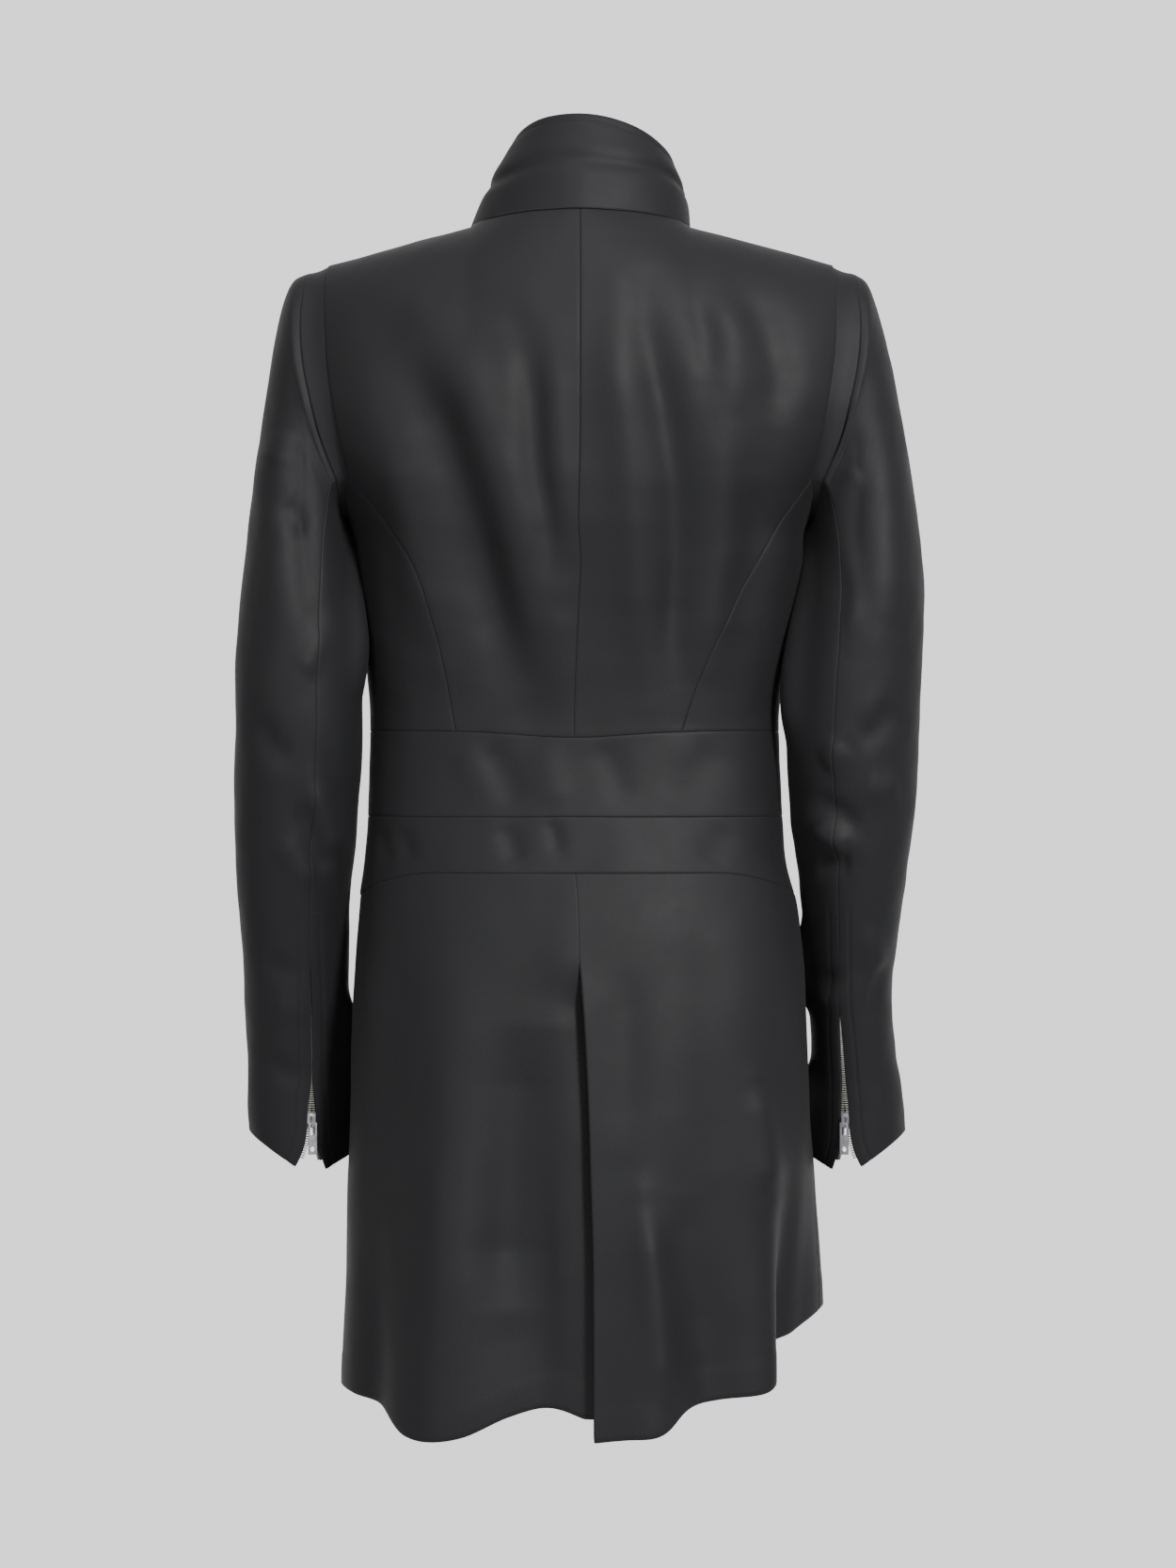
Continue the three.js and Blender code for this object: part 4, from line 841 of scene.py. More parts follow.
ARMHOLE_FADE = [1, 0.85, 0.65, 0.42, 0.22, 0.08, 0, 0]
# steps round the armhole: the end of the curve behind, the middle under the arm, and once round
CURVE_END, UNDERARM_AT, RING_AT = 9, 13, 26
BACK_SEAM_AT, FRONT_SEAM_AT = 9, 17
BEFORE_SEAM_AT = FRONT_SEAM_AT - RING_AT
BACK_SEAM_TURN = math.radians(111)
FRONT_SEAM_TURN = math.radians(-118)
SETTLED_BY = 9
LAST_RING = 16
CUFF_DROP, CUFF_DROP_RINGS = 30, 1.6
SLIT_CLOSED, SLIT_RADIUS, SLIT_EASE = 0.15, 44, 2.2
PLACKET_TOP_Z = -526
PLACKET_STITCHES = (2, 8.5)
BAND_IN, BAND_SUNK, BAND_BOW = 0.4, 0.9, 1.1
# height, half the slit's width; the placket's edges part lower down on the right sleeve
SLIT_HALF = {
    LEFT: [
        (-503, 0.15), (-555, 0.15), (-572, 0.9), (-600, 1.3), (-630, 1.4), (-655, 1.7), (-676, 4.6),
        (-692, 5.4), (-702, 6.8), (-712, 9.5), (-726, 15),
    ],
    RIGHT: [
        (-503, 0.15), (-585, 0.2), (-600, 0.7), (-612, 2), (-630, 2.8), (-655, 3.2), (-676, 4.9),
        (-692, 5.4), (-702, 6.8), (-712, 9.5), (-726, 15),
    ],
}
slit_half = {side: curve_through(*zip(*rows)) for side, rows in SLIT_HALF.items()}
armhole_band_width = curve_through((0, 0.3, 0.6, 0.85, 1), (17, 19, 15, 5, 1.2))
armhole_step = curve_through(range(10), ARMHOLE_STEPS)
armhole_fade = curve_through(range(8), ARMHOLE_FADE)
sleeve_curves = {
    side: [curve_through(range(len(rows)), column) for column in zip(*rows)]
    for side, rows in SLEEVE_RINGS.items()
}


def armhole_points(side, q):
    """The armhole's edge: 0 at the shoulder tip, 13 under the arm, and up the front to 26."""
    q = np.asarray(q, float)
    made = np.zeros(q.shape + (3,))
    for face in (BACK, FRONT):
        own = q if face == BACK else RING_AT - q
        here = (own >= 0) & (own <= UNDERARM_AT + 1e-9)
        upper_z = armhole_step(np.clip(own, 0, CURVE_END))
        upper = body_points(turned(panel_edge(np.minimum(upper_z, TIP_Z), side, face), side, face), upper_z)
        s = np.clip((own - CURVE_END) / (UNDERARM_AT - CURVE_END), 0, 1)
        start = panel_edge(np.array(JOIN_Z), side, face)
        lower_z = mix(JOIN_Z, UNDERARM_Z, np.sin(s * math.pi / 2))
        lower = body_points(turned(mix(start, math.pi / 2, s), side, face), lower_z)
        points = np.where((own <= CURVE_END)[..., None], upper, lower)
        made = np.where(here[..., None], points, made)
    return made


def plain_ring(side, ring, turn):
    out_x, out_z, in_x, in_z, y, deep = (curve(ring) for curve in sleeve_curves[side])
    return np.stack(
        np.broadcast_arrays(
            side * ((out_x + in_x) / 2 + (out_x - in_x) / 2 * np.cos(turn)),
            y + deep * np.sin(turn),
            (out_z + in_z) / 2 + (out_z - in_z) / 2 * np.cos(turn),
        ),
        axis=-1,
    )


def sleeve_head(side, q):
    """Each armhole point as the sleeve sees it: its turn round the ring and the band's outer edge."""
    edge = armhole_points(side, q)
    out_x, out_z, in_x, in_z, y, deep = SLEEVE_RINGS[side][0]
    middle = np.array([side * (out_x + in_x) / 2, y, (out_z + in_z) / 2])
    axis = plain_ring(side, 0.0, 0.0) - middle
    away = edge - middle
    turn = np.arctan2(away[..., 1] / deep, away @ axis / (axis @ axis))
    beyond = q > UNDERARM_AT
    turn = np.where(beyond & (turn <= 0) | ~beyond & (turn < -1.5), turn + 2 * math.pi, turn)
    width = armhole_band_width((1 - np.cos(turn)) / 2)
    out = np.stack([side + 0 * turn, -0.3 * np.sin(turn), -0.4 * np.maximum(0, np.cos(turn))], axis=-1)
    out /= np.linalg.norm(out, axis=-1, keepdims=True)
    band_edge = edge + out * width[..., None]
    return edge, turn, band_edge, band_edge - plain_ring(side, 0.0, turn)


def settled_turn(q):
    """The turn that each step settles at down the arm, where the two seams run straight."""
    front = FRONT_SEAM_TURN + 2 * math.pi
    upper_steps = BACK_SEAM_AT - BEFORE_SEAM_AT
    upper = mix(FRONT_SEAM_TURN, BACK_SEAM_TURN, (q - BEFORE_SEAM_AT) / upper_steps)
    under = mix(BACK_SEAM_TURN, front, (q - BACK_SEAM_AT) / (FRONT_SEAM_AT - BACK_SEAM_AT))
    last = mix(front, BACK_SEAM_TURN + 2 * math.pi, (q - FRONT_SEAM_AT) / upper_steps)
    return np.where(q < BACK_SEAM_AT, upper, np.where(q <= FRONT_SEAM_AT, under, last))


def cuff_drop(turn, ring):
    """Seen from behind, the cuff's hem runs straight from its point at the slit to the outer wrist."""
    past = wrapped(turn - BACK_SEAM_TURN)
    outer = np.where(past > -BACK_SEAM_TURN, (1 - np.cos(turn)) / (1 - math.cos(BACK_SEAM_TURN)), 0)
    share = np.where(past <= 0, outer, np.maximum(0, 1 - past / BACK_SEAM_TURN))
    return CUFF_DROP * share * smooth((ring - (LAST_RING - CUFF_DROP_RINGS)) / CUFF_DROP_RINGS)


def sleeve_surface(side, q, ring, slit):
    """A sleeve panel's points. slit is the way its edge moves back from the zip: -1 above, 1 below."""
    q, ring = np.broadcast_arrays(q, ring)
    around = np.mod(q, RING_AT)
    _, turn, _, offset = sleeve_head(side, around)
    turn = np.where(q < 0, turn - 2 * math.pi, turn)
    settled = smooth(ring / SETTLED_BY)
    turn = mix(turn, settled_turn(q), settled)
    near = np.exp(-(((q - BACK_SEAM_AT) / SLIT_EASE) ** 2))
    height = plain_ring(side, ring, turn)[..., 2] - cuff_drop(turn, ring)
    turn = turn + slit * near * (slit_half[side](height) - SLIT_CLOSED) / SLIT_RADIUS
    points = plain_ring(side, ring, turn)
    points = points + offset * armhole_fade(np.minimum(ring, 7))[..., None] * (ring < 6.5)[..., None]
    points[..., 2] -= cuff_drop(turn, ring)
    return points


SLEEVE_CREASES = {
    LEFT: [
        ([(198, -425), (193, -445), (185, -467), (180, -491)], 3.7, 9),
        ([(207, -440), (201, -461), (193, -485), (187, -503)], -3, 9),
        ([(183, -401), (178, -425), (172, -450)], -2.6, 9),
        ([(223, -469), (209, -491), (195, -508)], 2.1, 10),
        ([(234, -167), (226, -225), (219, -303)], 2.6, 16),
        ([(210, -137), (203, -206), (199, -274), (201, -332)], -2.8, 13),
        ([(240, -381), (226, -405), (209, -418)], -2.3, 10),
        ([(240, -557), (223, -569), (201, -574)], -1.8, 9),
        ([(185, -596), (209, -602), (234, -596)], 1.4, 9),
        ([(240, -635), (221, -647), (203, -651)], -1.5, 8),
        ([(222, -222), (208, -238), (196, -248)], -3.4, 10),
        ([(216, -168), (224, -200)], 2.6, 12),
        ([(172, -286), (186, -300), (196, -318)], -2.8, 10),
        ([(206, -352), (192, -332), (180, -320)], 2.6, 10),
    ],
    RIGHT: [
        ([(-191, -399), (-183, -411), (-176, -416)], 4.2, 12),
        ([(-171, -461), (-180, -467), (-190, -473), (-201, -477)], 4.6, 9),
        ([(-166, -440), (-180, -446), (-195, -455), (-209, -469)], -3.4, 8),
        ([(-172, -489), (-185, -491), (-203, -489)], -2.8, 8),
        ([(-176, -575), (-187, -576), (-201, -573), (-215, -567)], -2.6, 6),
        ([(-174, -592), (-187, -594), (-205, -588)], 2.1, 6),
        ([(-205, -537), (-217, -553), (-224, -576)], 2.6, 9),
        ([(-230, -557), (-221, -586), (-217, -615)], -2.6, 9),
        ([(-200, -137), (-199, -196), (-195, -264), (-199, -332)], -2.8, 13),
        ([(-230, -176), (-226, -245), (-223, -323)], 2.6, 16),
        ([(-234, -371), (-219, -391), (-201, -401)], -2.3, 10),
        ([(-238, -430), (-223, -436), (-207, -432)], 2.3, 10),
        ([(-178, -224), (-192, -214), (-206, -196)], 3.4, 8),
        ([(-176, -240), (-184, -262), (-190, -300)], -3.4, 8),
        ([(-190, -244), (-199, -290), (-199, -330)], 3, 9),
    ],
}


# The sleeve's inner back leans on the body's side, and lower down on the skirt: height, how far it bulges
LEANING_FOLD = {
    LEFT: [
        (-720, 5), (-640, 5.5), (-604, 5), (-586, 0), (-570, 0), (-410, 0), (-392, 0), (-375, 1.2),
        (-357, 5.5), (-335, 9), (-303, 9), (-281, 8), (-262, 7.5), (-247, 6.5), (-238, 3), (-230, 0),
    ],
    RIGHT: [
        (-720, 5.5), (-652, 6), (-638, 0.5), (-606, 0.5), (-594, 5), (-545, 5.5), (-526, 0), (-512, 0),
        (-436, 0), (-420, 0), (-402, 3), (-380, 9), (-352, 11.5), (-325, 11), (-303, 9.5), (-281, 8),
        (-262, 7.5), (-247, 6.5), (-238, 3), (-230, 0),
    ],
}
leaning_fold = {side: curve_through(*zip(*rows)) for side, rows in LEANING_FOLD.items()}
middle_y = {
    side: curve_through([row[3] for row in rows], [row[4] for row in rows])
    for side, rows in SLEEVE_RINGS.items()
}


def sleeve_relief_for(side, slit_edge):
    def relief(points, normals):
        x, y, z = points[..., 0], points[..., 1], points[..., 2]
        leans_at = mix(6, 20, smooth_between(-560, -480, z))
        behind_middle = np.exp(-(((y - middle_y[side](z) - leans_at) / 13) ** 2))
        bulge = np.maximum(0, leaning_fold[side](z))
        leaning = bulge * behind_middle * smooth_between(0.3, 0.7, -side * normals[..., 0])
        behind = smooth_between(-0.25, 0.35, normals[..., 1])
        below_head = smooth_between(-60, -130, z)
        out = creased(x, z, SLEEVE_CREASES[side]) * mix(0.65, 1.35, behind)
        waver = 1.0 * hand_waver(x, y, z, 80, 20 + side) + 0.5 * hand_waver(x, y, z, 34, 30 + side)
        # The side that faces the body is pressed flat against it.
        inner = 1 - 0.85 * smooth_between(0.2, 0.8, -side * normals[..., 0]) * smooth_between(-480, -400, z)
        placket = 1 - 0.8 * np.exp(-(((x - side * 200) / 14) ** 2)) * smooth_between(-500, -530, z) * behind
        from_slit = from_edge(points, slit_edge)
        ditch = np.exp(-(((from_slit - PLACKET_STITCHES[1]) / 1.1) ** 2))
        stitched = 0.6 * ditch * smooth_between(PLACKET_TOP_Z + 4, PLACKET_TOP_Z - 2, z)
        seam = SEAM_DITCH * np.exp(-((from_slit / SEAM_WIDTH) ** 2)) * smooth_between(-560, -540, z)
        return (out + waver) * below_head * inner * placket + leaning - stitched - seam

    return relief


def out_of_sleeve(side, points, ring):
    """Level directions to a sleeve's points from the middle of their rings."""
    out_x, _, in_x, _, y, _ = (curve(ring) for curve in sleeve_curves[side])
    middle = np.stack([side * (out_x + in_x) / 2, y], axis=-1)
    return np.concatenate([points[..., :2] - middle, np.zeros(points.shape[:-1] + (1,))], axis=-1)


rings = [np.linspace(0, 5, 46)[:-1], np.linspace(5, 14.5, 96)[:-1], np.linspace(14.5, LAST_RING, 26)]
rings = np.concatenate(rings)[:, None]
# The columns are closer near the back seam, for the placket's stitched edge.
upper_columns = mix(BACK_SEAM_AT, BEFORE_SEAM_AT, np.linspace(1, 0, 96) ** 1.5)
under_columns = mix(BACK_SEAM_AT, FRONT_SEAM_AT, np.linspace(0, 1, 46) ** 1.4)
for side in (LEFT, RIGHT):
    band_name = f"armhole_band_{SIDE_NAMES[side]}"
    for part, columns, slit, sewn, slit_edge in (
        ("upper_sleeve", upper_columns, -1, ("first", "start"), "end"),
        ("under_sleeve", under_columns, 1, ("first", "end"), "start"),
    ):
        points = sleeve_surface(side, columns[None, :], rings, slit)
        outward = out_of_sleeve(side, points, rings)
        relief = sleeve_relief_for(side, slit_edge)
        sew_piece(f"{part}_{SIDE_NAMES[side]}", points, outward, sewn, relief)

    edge, turn, band_edge, _ = sleeve_head(side, np.linspace(0, RING_AT, 157))
    across = np.linspace(0, 1, 9)[:, None, None]
    points = mix((edge - np.array([side * BAND_IN, 0, 0]))[None], band_edge[None], across)
    outward = np.stack([0.25 * side + 0 * turn, np.sin(turn), np.cos(turn)], axis=-1)[None]
    sunk = -BAND_BOW * np.sin(math.pi * across) - BAND_SUNK * (1 - across)
    points = points + outward / np.linalg.norm(outward, axis=-1, keepdims=True) * sunk
    sew_piece(band_name, points, outward, ("first", "last"))


# The stitching
# Black polyester thread, 0.4 mm thick, sewn about nine stitches to 25 mm. It shows along the collar's edge,
# round the zip's placket and along the edges of the slit.
THREAD_PROUD = 0.05


def thread_material():
    material, tree = new_material("black_polyester_thread")
    place = add_node(tree, "ShaderNodeTexCoord").outputs["Object"]
    # The thread's twist is drawn at 0.3 mm.
    twist = add_node(tree, "ShaderNodeTexWave", {"wave_type": "BANDS", "bands_direction": "DIAGONAL"}, {
        "Vector": place, "Scale": 1 / (0.0003 * BANDS_IN_UNIT)})
    colour = add_node(tree, "ShaderNodeMix", COLOUR_MIX, {
        0: twist.outputs["Fac"], 6: linear("0c0c0d"), 7: linear("1e1e20")})
    bump = add_node(tree, "ShaderNodeBump", inputs={
        "Height": twist.outputs["Fac"], "Strength": 0.3, "Distance": 0.0001})
    shader = add_node(tree, "ShaderNodeBsdfPrincipled", inputs={
        "Base Color": colour.outputs[2], "Roughness": 0.65, "Normal": bump.outputs[0], "IOR": 1.58,
        "Specular IOR Level": 0.25})
    add_node(tree, "ShaderNodeOutputMaterial", inputs={"Surface": shader.outputs[0]})
    return material


def repeat_tree(name, sizes, shape, material):
    """A Geometry Nodes tree that sets one small shape along every line, at a pitch, turned along the line."""
    tree = bpy.data.node_groups.new(name, "GeometryNodeTree")
    tree.interface.new_socket("Geometry", in_out="INPUT", socket_type="NodeSocketGeometry")
    sockets = {}
    for label, value in sizes.items():
        socket = tree.interface.new_socket(label, in_out="INPUT", socket_type="NodeSocketFloat")
        socket.default_value = value
        sockets[label] = socket.identifier
    tree.interface.new_socket("Geometry", in_out="OUTPUT", socket_type="NodeSocketGeometry")
    given = add_node(tree, "NodeGroupInput")
    curve = add_node(tree, "GeometryNodeMeshToCurve", inputs={"Mesh": given.outputs["Geometry"]})
    even = add_node(tree, "GeometryNodeResampleCurve", {"mode": "LENGTH"}, {
        "Curve": curve.outputs[0], "Length": given.outputs["Pitch"]})
    tangent = add_node(tree, "GeometryNodeInputTangent")
    along = add_node(tree, "FunctionNodeAlignRotationToVector", {"axis": "Z"}, {"Vector": tangent.outputs[0]})
    face = add_node(tree, "GeometryNodeInputNamedAttribute", {"data_type": "FLOAT_VECTOR"}, {"Name": "face"})
    facing = add_node(tree, "FunctionNodeAlignRotationToVector", {"axis": "X", "pivot_axis": "Z"}, {
        "Rotation": along.outputs[0], "Vector": face.outputs[0]})
    placed = add_node(tree, "GeometryNodeInstanceOnPoints", inputs={
        "Points": even.outputs[0], "Instance": shape(tree, given), "Rotation": facing.outputs[0]})
    real = add_node(tree, "GeometryNodeRealizeInstances", inputs={"Geometry": placed.outputs[0]})
    finished = add_node(tree, "GeometryNodeSetMaterial", inputs={
        "Geometry": real.outputs[0], "Material": material})
    add_node(tree, "NodeGroupOutput", inputs={"Geometry": finished.outputs[0]})
    return tree, sockets


def set_along(name, lines, repeat, values=None):
    """Sets a shape along lines of (points, facing) in millimetres, and bakes it to a plain mesh."""
    tree, sockets = repeat
    mesh = bpy.data.meshes.new(f"{name}_lines")
    points = np.concatenate([line for line, _ in lines]) / 1000
    faces = np.concatenate([np.broadcast_to(face, line.shape) for line, face in lines])
    edges = []
    start = 0
    for line, _ in lines:
        edges += [(start + k, start + k + 1) for k in range(len(line) - 1)]
        start += len(line)
    mesh.from_pydata([tuple(p) for p in points], edges, [])
    facing = mesh.attributes.new("face", "FLOAT_VECTOR", "POINT")
    facing.data.foreach_set("vector", faces.astype(np.float32).ravel())
    guide = new_object(f"{name}_guide", mesh)
    modifier = guide.modifiers.new("repeat", "NODES")
    modifier.node_group = tree
    for label, value in (values or {}).items():
        modifier[sockets[label]] = value
    bpy.context.view_layer.update()
    baked = bpy.data.meshes.new_from_object(guide.evaluated_get(bpy.context.evaluated_depsgraph_get()))
    bpy.data.objects.remove(guide)
    baked.name = name
    piece = new_object(name, baked)
    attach(piece, "coat")


def stitch_shape(tree, given):
    """One stitch: a short thick thread that lies along the line."""
    bar = add_node(tree, "GeometryNodeMeshCylinder", inputs={
        "Vertices": 6, "Radius": given.outputs["Thickness"], "Depth": given.outputs["Stitch"]})
    return bar.outputs[0]


stitches = repeat_tree(
    "stitches", {"Pitch": 0.0028, "Stitch": 0.0022, "Thickness": 0.0002}, stitch_shape, thread_material())


def picked_line(name, picked):
    """A line of thread over some of a piece's points, and the way the cloth faces there."""
    points, normals = finished_grids[name]
    return points[picked] + normals[picked] * THREAD_PROUD, normals[picked]


def line_beside(name, edge, inset):
    """A line of thread a distance in from one of a piece's edges."""
    axis = GRID_EDGES[edge][0]
    nearest = np.argmin(np.abs(from_edge(finished_grids[name][0], edge) - inset), axis=axis)
    other = np.arange(len(nearest))
    return picked_line(name, (nearest, other) if axis == 0 else (other, nearest))


stitch_lines = [line_beside("collar", "last", COLLAR_STITCH)]
for side in (LEFT, RIGHT):
    for part, edge in (("upper_sleeve", "end"), ("under_sleeve", "start")):
        name = f"{part}_{SIDE_NAMES[side]}"
        points = finished_grids[name][0]
        top = int(np.searchsorted(-points[:, GRID_EDGES[edge][1], 2], -PLACKET_TOP_Z))
        for inset in PLACKET_STITCHES:
            line, face = line_beside(name, edge, inset)
            stitch_lines.append((line[top:], face[top:]))
        # A row across the placket's head joins the two.
        head = from_edge(points, edge)[top] <= PLACKET_STITCHES[1]
        stitch_lines.append(picked_line(name, (top, head)))
set_along("stitching", stitch_lines, stitches)


# The sleeve zips
# Nickel-plated brass zips: teeth stamped on two woven tapes, a cast slider and a plain flat pull. The tapes,
# the slider and the pull keep their own solids, and the teeth are set along the tapes' edges.
ZIP_UNDER, ZIP_TAPE = 1.3, 0.9
ZIP_TOP_Z, ZIP_END_Z, SLIDER_Z, SLIDER_HALF = -523, -716, -684, 6.6
TOOTH_PITCH = 1.7
# how far a tape's edge lies inside the slit's, the least it lies from the middle, the teeth's place beyond it
TAPE_INSIDE, TAPE_LEAST, TEETH_OUT = 3, 0.7, 0.4


def metal_material(name, light, dark, roughness):
    material, tree = new_material(name)
    place = add_node(tree, "ShaderNodeTexCoord").outputs["Object"]
    # Brushing marks run round the piece, drawn at 0.25 mm, and handling has dulled it in places.
    brushed = add_node(tree, "ShaderNodeTexNoise", inputs={"Vector": place, "Scale": 4000, "Detail": 2.0})
    worn = add_node(tree, "ShaderNodeTexNoise", inputs={"Vector": place, "Scale": 260, "Detail": 3.0})
    colour = add_node(tree, "ShaderNodeMix", COLOUR_MIX, {
        0: worn.outputs["Fac"], 6: linear(light), 7: linear(dark)})
    rough = add_node(tree, "ShaderNodeMapRange", inputs={
        "Value": worn.outputs["Fac"], "From Min": 0.3, "From Max": 0.7, "To Min": roughness,
        "To Max": roughness + 0.14})
    bump = add_node(tree, "ShaderNodeBump", inputs={
        "Height": brushed.outputs["Fac"], "Strength": 0.15, "Distance": 0.00005})
    shader = add_node(tree, "ShaderNodeBsdfPrincipled", inputs={
        "Base Color": colour.outputs[2], "Metallic": 1.0, "Roughness": rough.outputs[0],
        "Normal": bump.outputs[0]})
    add_node(tree, "ShaderNodeOutputMaterial", inputs={"Surface": shader.outputs[0]})
    return material


def tape_material():
    material, tree = new_material("black_woven_zip_tape")
    place = add_node(tree, "ShaderNodeTexCoord").outputs["Object"]
    # The herringbone weave is drawn at 0.8 mm.
    warp, weft = (
        add_node(tree, "ShaderNodeTexWave", {"wave_type": "BANDS", "bands_direction": direction}, {
            "Vector": place, "Scale": 1 / (0.0008 * BANDS_IN_UNIT), "Distortion": 0.3})
        for direction in ("X", "Z")
    )
    woven = add_node(tree, "ShaderNodeMix", COLOUR_MIX, {
        0: warp.outputs["Fac"], 6: weft.outputs["Color"], 7: warp.outputs["Color"]})
    colour = add_node(tree, "ShaderNodeMix", COLOUR_MIX, {
        0: weft.outputs["Fac"], 6: linear("0e0e0f"), 7: linear("1c1c1e")})
    bump = add_node(tree, "ShaderNodeBump", inputs={
        "Height": woven.outputs[2], "Strength": 0.4, "Distance": 0.0001})
    shader = add_node(tree, "ShaderNodeBsdfPrincipled", inputs={
        "Base Color": colour.outputs[2], "Roughness": 0.75, "Normal": bump.outputs[0], "IOR": 1.5,
        "Specular IOR Level": 0.3})
    add_node(tree, "ShaderNodeOutputMaterial", inputs={"Surface": shader.outputs[0]})
    return material


def tooth_shape(tree, given):
    """One tooth: a small block across the tape's edge."""
    size = add_node(tree, "ShaderNodeCombineXYZ", inputs={
        "X": given.outputs["Thick"], "Y": given.outputs["Across"], "Z": given.outputs["Along"]})
    return add_node(tree, "GeometryNodeMeshCube", inputs={"Size": size.outputs[0]}).outputs[0]


def give_finish(start, material):
    """Gives a material to the CAD pieces whose names start so."""
    for name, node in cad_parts.items():
        if name.startswith(start):
            for slot_at in node.material_slots:
                slot_at.material = material


teeth = repeat_tree(
    "zip_teeth", {"Pitch": TOOTH_PITCH / 1000, "Thick": 0.0021, "Across": 0.0025, "Along": 0.00075},
    tooth_shape, metal_material("bright_nickel_teeth", "d6d4cc", "b2aea4", 0.3))
slider_metal = metal_material("cast_nickel_slider", "dedee2", "b4b4b8", 0.36)
give_finish("zip_slider", slider_metal)
give_finish("zip_pull", slider_metal)
give_finish("zip_tape", tape_material())


def zip_points(side, z, aside):
    """Places at the middle of the tapes' thickness: heights, and how far each is from the slit's middle."""
    lower_rings = np.linspace(SETTLED_BY, LAST_RING, 700)
    turn = BACK_SEAM_TURN - aside / SLIT_RADIUS
    heights = plain_ring(side, lower_rings, BACK_SEAM_TURN)[..., 2]
    heights = heights - cuff_drop(np.array(BACK_SEAM_TURN), lower_rings)
    ring = np.interp(-z, -heights, lower_rings)
    points = plain_ring(side, ring, turn)
    points[..., 2] -= cuff_drop(turn, ring)
    outward = out_of_sleeve(side, points, ring)
    outward /= np.linalg.norm(outward, axis=-1, keepdims=True)
    return points - outward * (CLOTH + ZIP_UNDER + ZIP_TAPE / 2), outward


for side in (LEFT, RIGHT):
    rows = []
    for hand in (1, -1):
        for top, bottom in ((ZIP_TOP_Z, SLIDER_Z + SLIDER_HALF), (SLIDER_Z - SLIDER_HALF, ZIP_END_Z)):
            z = np.linspace(top - (TOOTH_PITCH / 2 if hand > 0 else 0), bottom, 90)
            aside = hand * (np.maximum(TAPE_LEAST, slit_half[side](z) - TAPE_INSIDE) + TEETH_OUT)
            rows.append(zip_points(side, z, aside))
    set_along(f"zip_teeth_{SIDE_NAMES[side]}", rows, teeth)


# The buttons
# Seven plain buttons of black polyester, cast, turned and tumbled to a soft shine, each sewn on with crossed
# thread. They keep their own solids, which have a dish but no holes, and the thread is laid in the dish.
BUTTON_COUNT, BUTTON_TOP_Z, BUTTON_PITCH, THREAD_REACH = 7, -92, 63, 2.1
# the gap under a button, its thickness, its dish's depth, and how far the thread stands in the dish
BUTTON_GAP, BUTTON_THICK, DISH_DEPTH, THREAD_UP = 0.6, 3.2, 1, 0.25


def button_material():
    material, tree = new_material("black_polyester_button")
    place = add_node(tree, "ShaderNodeTexCoord").outputs["Object"]
    cloud = add_node(tree, "ShaderNodeTexNoise", inputs={
        "Vector": place, "Scale": 180, "Detail": 3.0, "Distortion": 1.2})
    colour = add_node(tree, "ShaderNodeMix", COLOUR_MIX, {
        0: cloud.outputs["Fac"], 6: linear("0d0d0e"), 7: linear("202022")})
    rough = add_node(tree, "ShaderNodeMapRange", inputs={
        "Value": cloud.outputs["Fac"], "From Min": 0.3, "From Max": 0.7, "To Min": 0.22, "To Max": 0.34})
    shader = add_node(tree, "ShaderNodeBsdfPrincipled", inputs={
        "Base Color": colour.outputs[2], "Roughness": rough.outputs[0], "IOR": 1.54})
    add_node(tree, "ShaderNodeOutputMaterial", inputs={"Surface": shader.outputs[0]})
    return material


give_finish("button", button_material())

threads = []
for k in range(BUTTON_COUNT):
    z = BUTTON_TOP_Z - k * BUTTON_PITCH
    near = body_points(math.pi + np.array([[-0.01, 0.01]] * 2), z + np.array([[1.0] * 2, [-1.0] * 2]))
    middle = near.mean(axis=(0, 1))
    normal = np.cross(near[0, 1] - near[0, 0], near[1, 0] - near[0, 0])
    normal *= np.sign(-normal[1]) / np.linalg.norm(normal)
    across = np.cross(normal, [0, 0, 1.0])
    across /= np.linalg.norm(across)
    up = np.cross(across, normal)
    in_dish = middle + normal * (LAP_LIFT + BUTTON_GAP + BUTTON_THICK - DISH_DEPTH + THREAD_UP)
    for turn_sign in (1, -1):
        reach = (across + turn_sign * up) * THREAD_REACH
        threads.append((np.stack([in_dish - reach, in_dish, in_dish + reach]), normal[None]))
fine = {"Pitch": 0.0005, "Stitch": 0.0008, "Thickness": 0.00032}
set_along("button_thread", threads, stitches, fine)


# The room
# A plain pale studio floor, well below the hanging coat, and soft light from the camera's side.
LENS, SENSOR = 91.4, 36
CAMERA_AT = (-0.0057, 3.0, -0.431)
FLOOR_RADIUS, FLOOR_SIDES, FLOOR_Z = 1.6, 96, -1.48
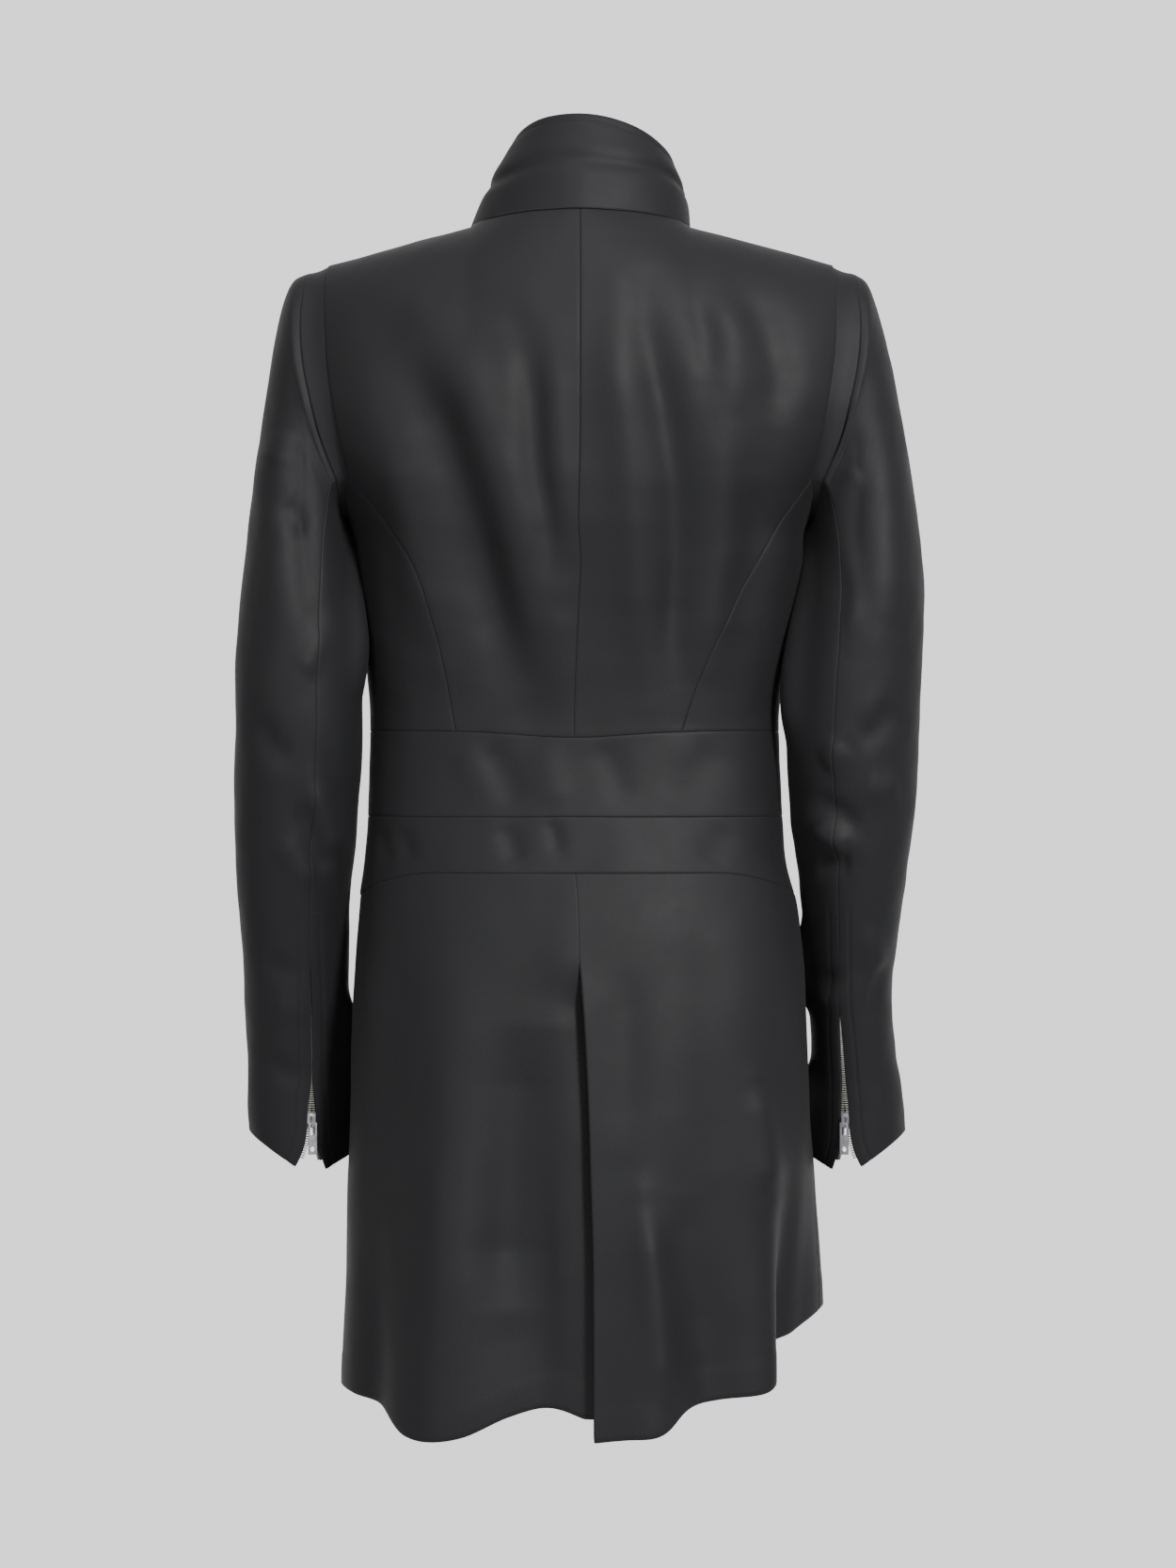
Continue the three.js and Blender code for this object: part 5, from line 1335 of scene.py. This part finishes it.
# name, place, aimed at, size, power
LIGHTS = (
    ("key", (-1.5, 2.6, 1.2), (0, 0, -0.4), 0.7, 172),
    ("fill", (1.6, 2.8, -0.2), (0, 0, -0.5), 1.4, 34),
    ("top", (0.1, 0.9, 1.9), (0, 0, -0.1), 0.9, 22),
)

camera_data = bpy.data.cameras.new("camera")
camera_data.lens = LENS
camera_data.sensor_width = SENSOR
camera_data.sensor_fit = "AUTO"
camera = new_object("camera", camera_data)
camera.location = CAMERA_AT
camera.rotation_euler = (math.radians(90), 0, math.radians(180))
bpy.context.scene.camera = camera

world = bpy.data.worlds.new("pale_studio")
world.use_nodes = True
backdrop = world.node_tree.nodes["Background"]
backdrop.inputs["Color"].default_value = linear("dcdcde")
# The wall that the coat's front faces is the brightest, and the rest of the room is dimmer.
towards = add_node(world.node_tree, "ShaderNodeTexCoord").outputs["Generated"]
across_room = add_node(world.node_tree, "ShaderNodeSeparateXYZ", inputs={"Vector": towards})
wall_light = add_node(world.node_tree, "ShaderNodeMapRange", inputs={
    "Value": across_room.outputs["Y"], "From Min": -0.93, "From Max": -0.6, "To Min": 2.05, "To Max": 0.7})
world.node_tree.links.new(wall_light.outputs[0], backdrop.inputs["Strength"])
bpy.context.scene.world = world

floor_mesh = bpy.data.meshes.new("floor")
corners = [k * math.pi / (FLOOR_SIDES / 2) for k in range(FLOOR_SIDES)]
floor_ring = [(FLOOR_RADIUS * math.cos(a), FLOOR_RADIUS * math.sin(a), FLOOR_Z) for a in corners]
floor_mesh.from_pydata(floor_ring, [], [list(range(FLOOR_SIDES))])
floor = new_object("floor", floor_mesh)
pale, tree = new_material("pale_matt_paint")
paint = add_node(tree, "ShaderNodeBsdfPrincipled", inputs={"Base Color": linear("d4d4d6"), "Roughness": 0.8})
add_node(tree, "ShaderNodeOutputMaterial", inputs={"Surface": paint.outputs[0]})
floor_mesh.materials.append(pale)

for name, place, target, size, power in LIGHTS:
    light_data = bpy.data.lights.new(name, "AREA")
    light_data.shape = "DISK"
    light_data.size = size
    light_data.energy = power
    light = new_object(name, light_data)
    light.location = place
    light.rotation_euler = (Vector(target) - Vector(place)).to_track_quat("-Z", "Y").to_euler()
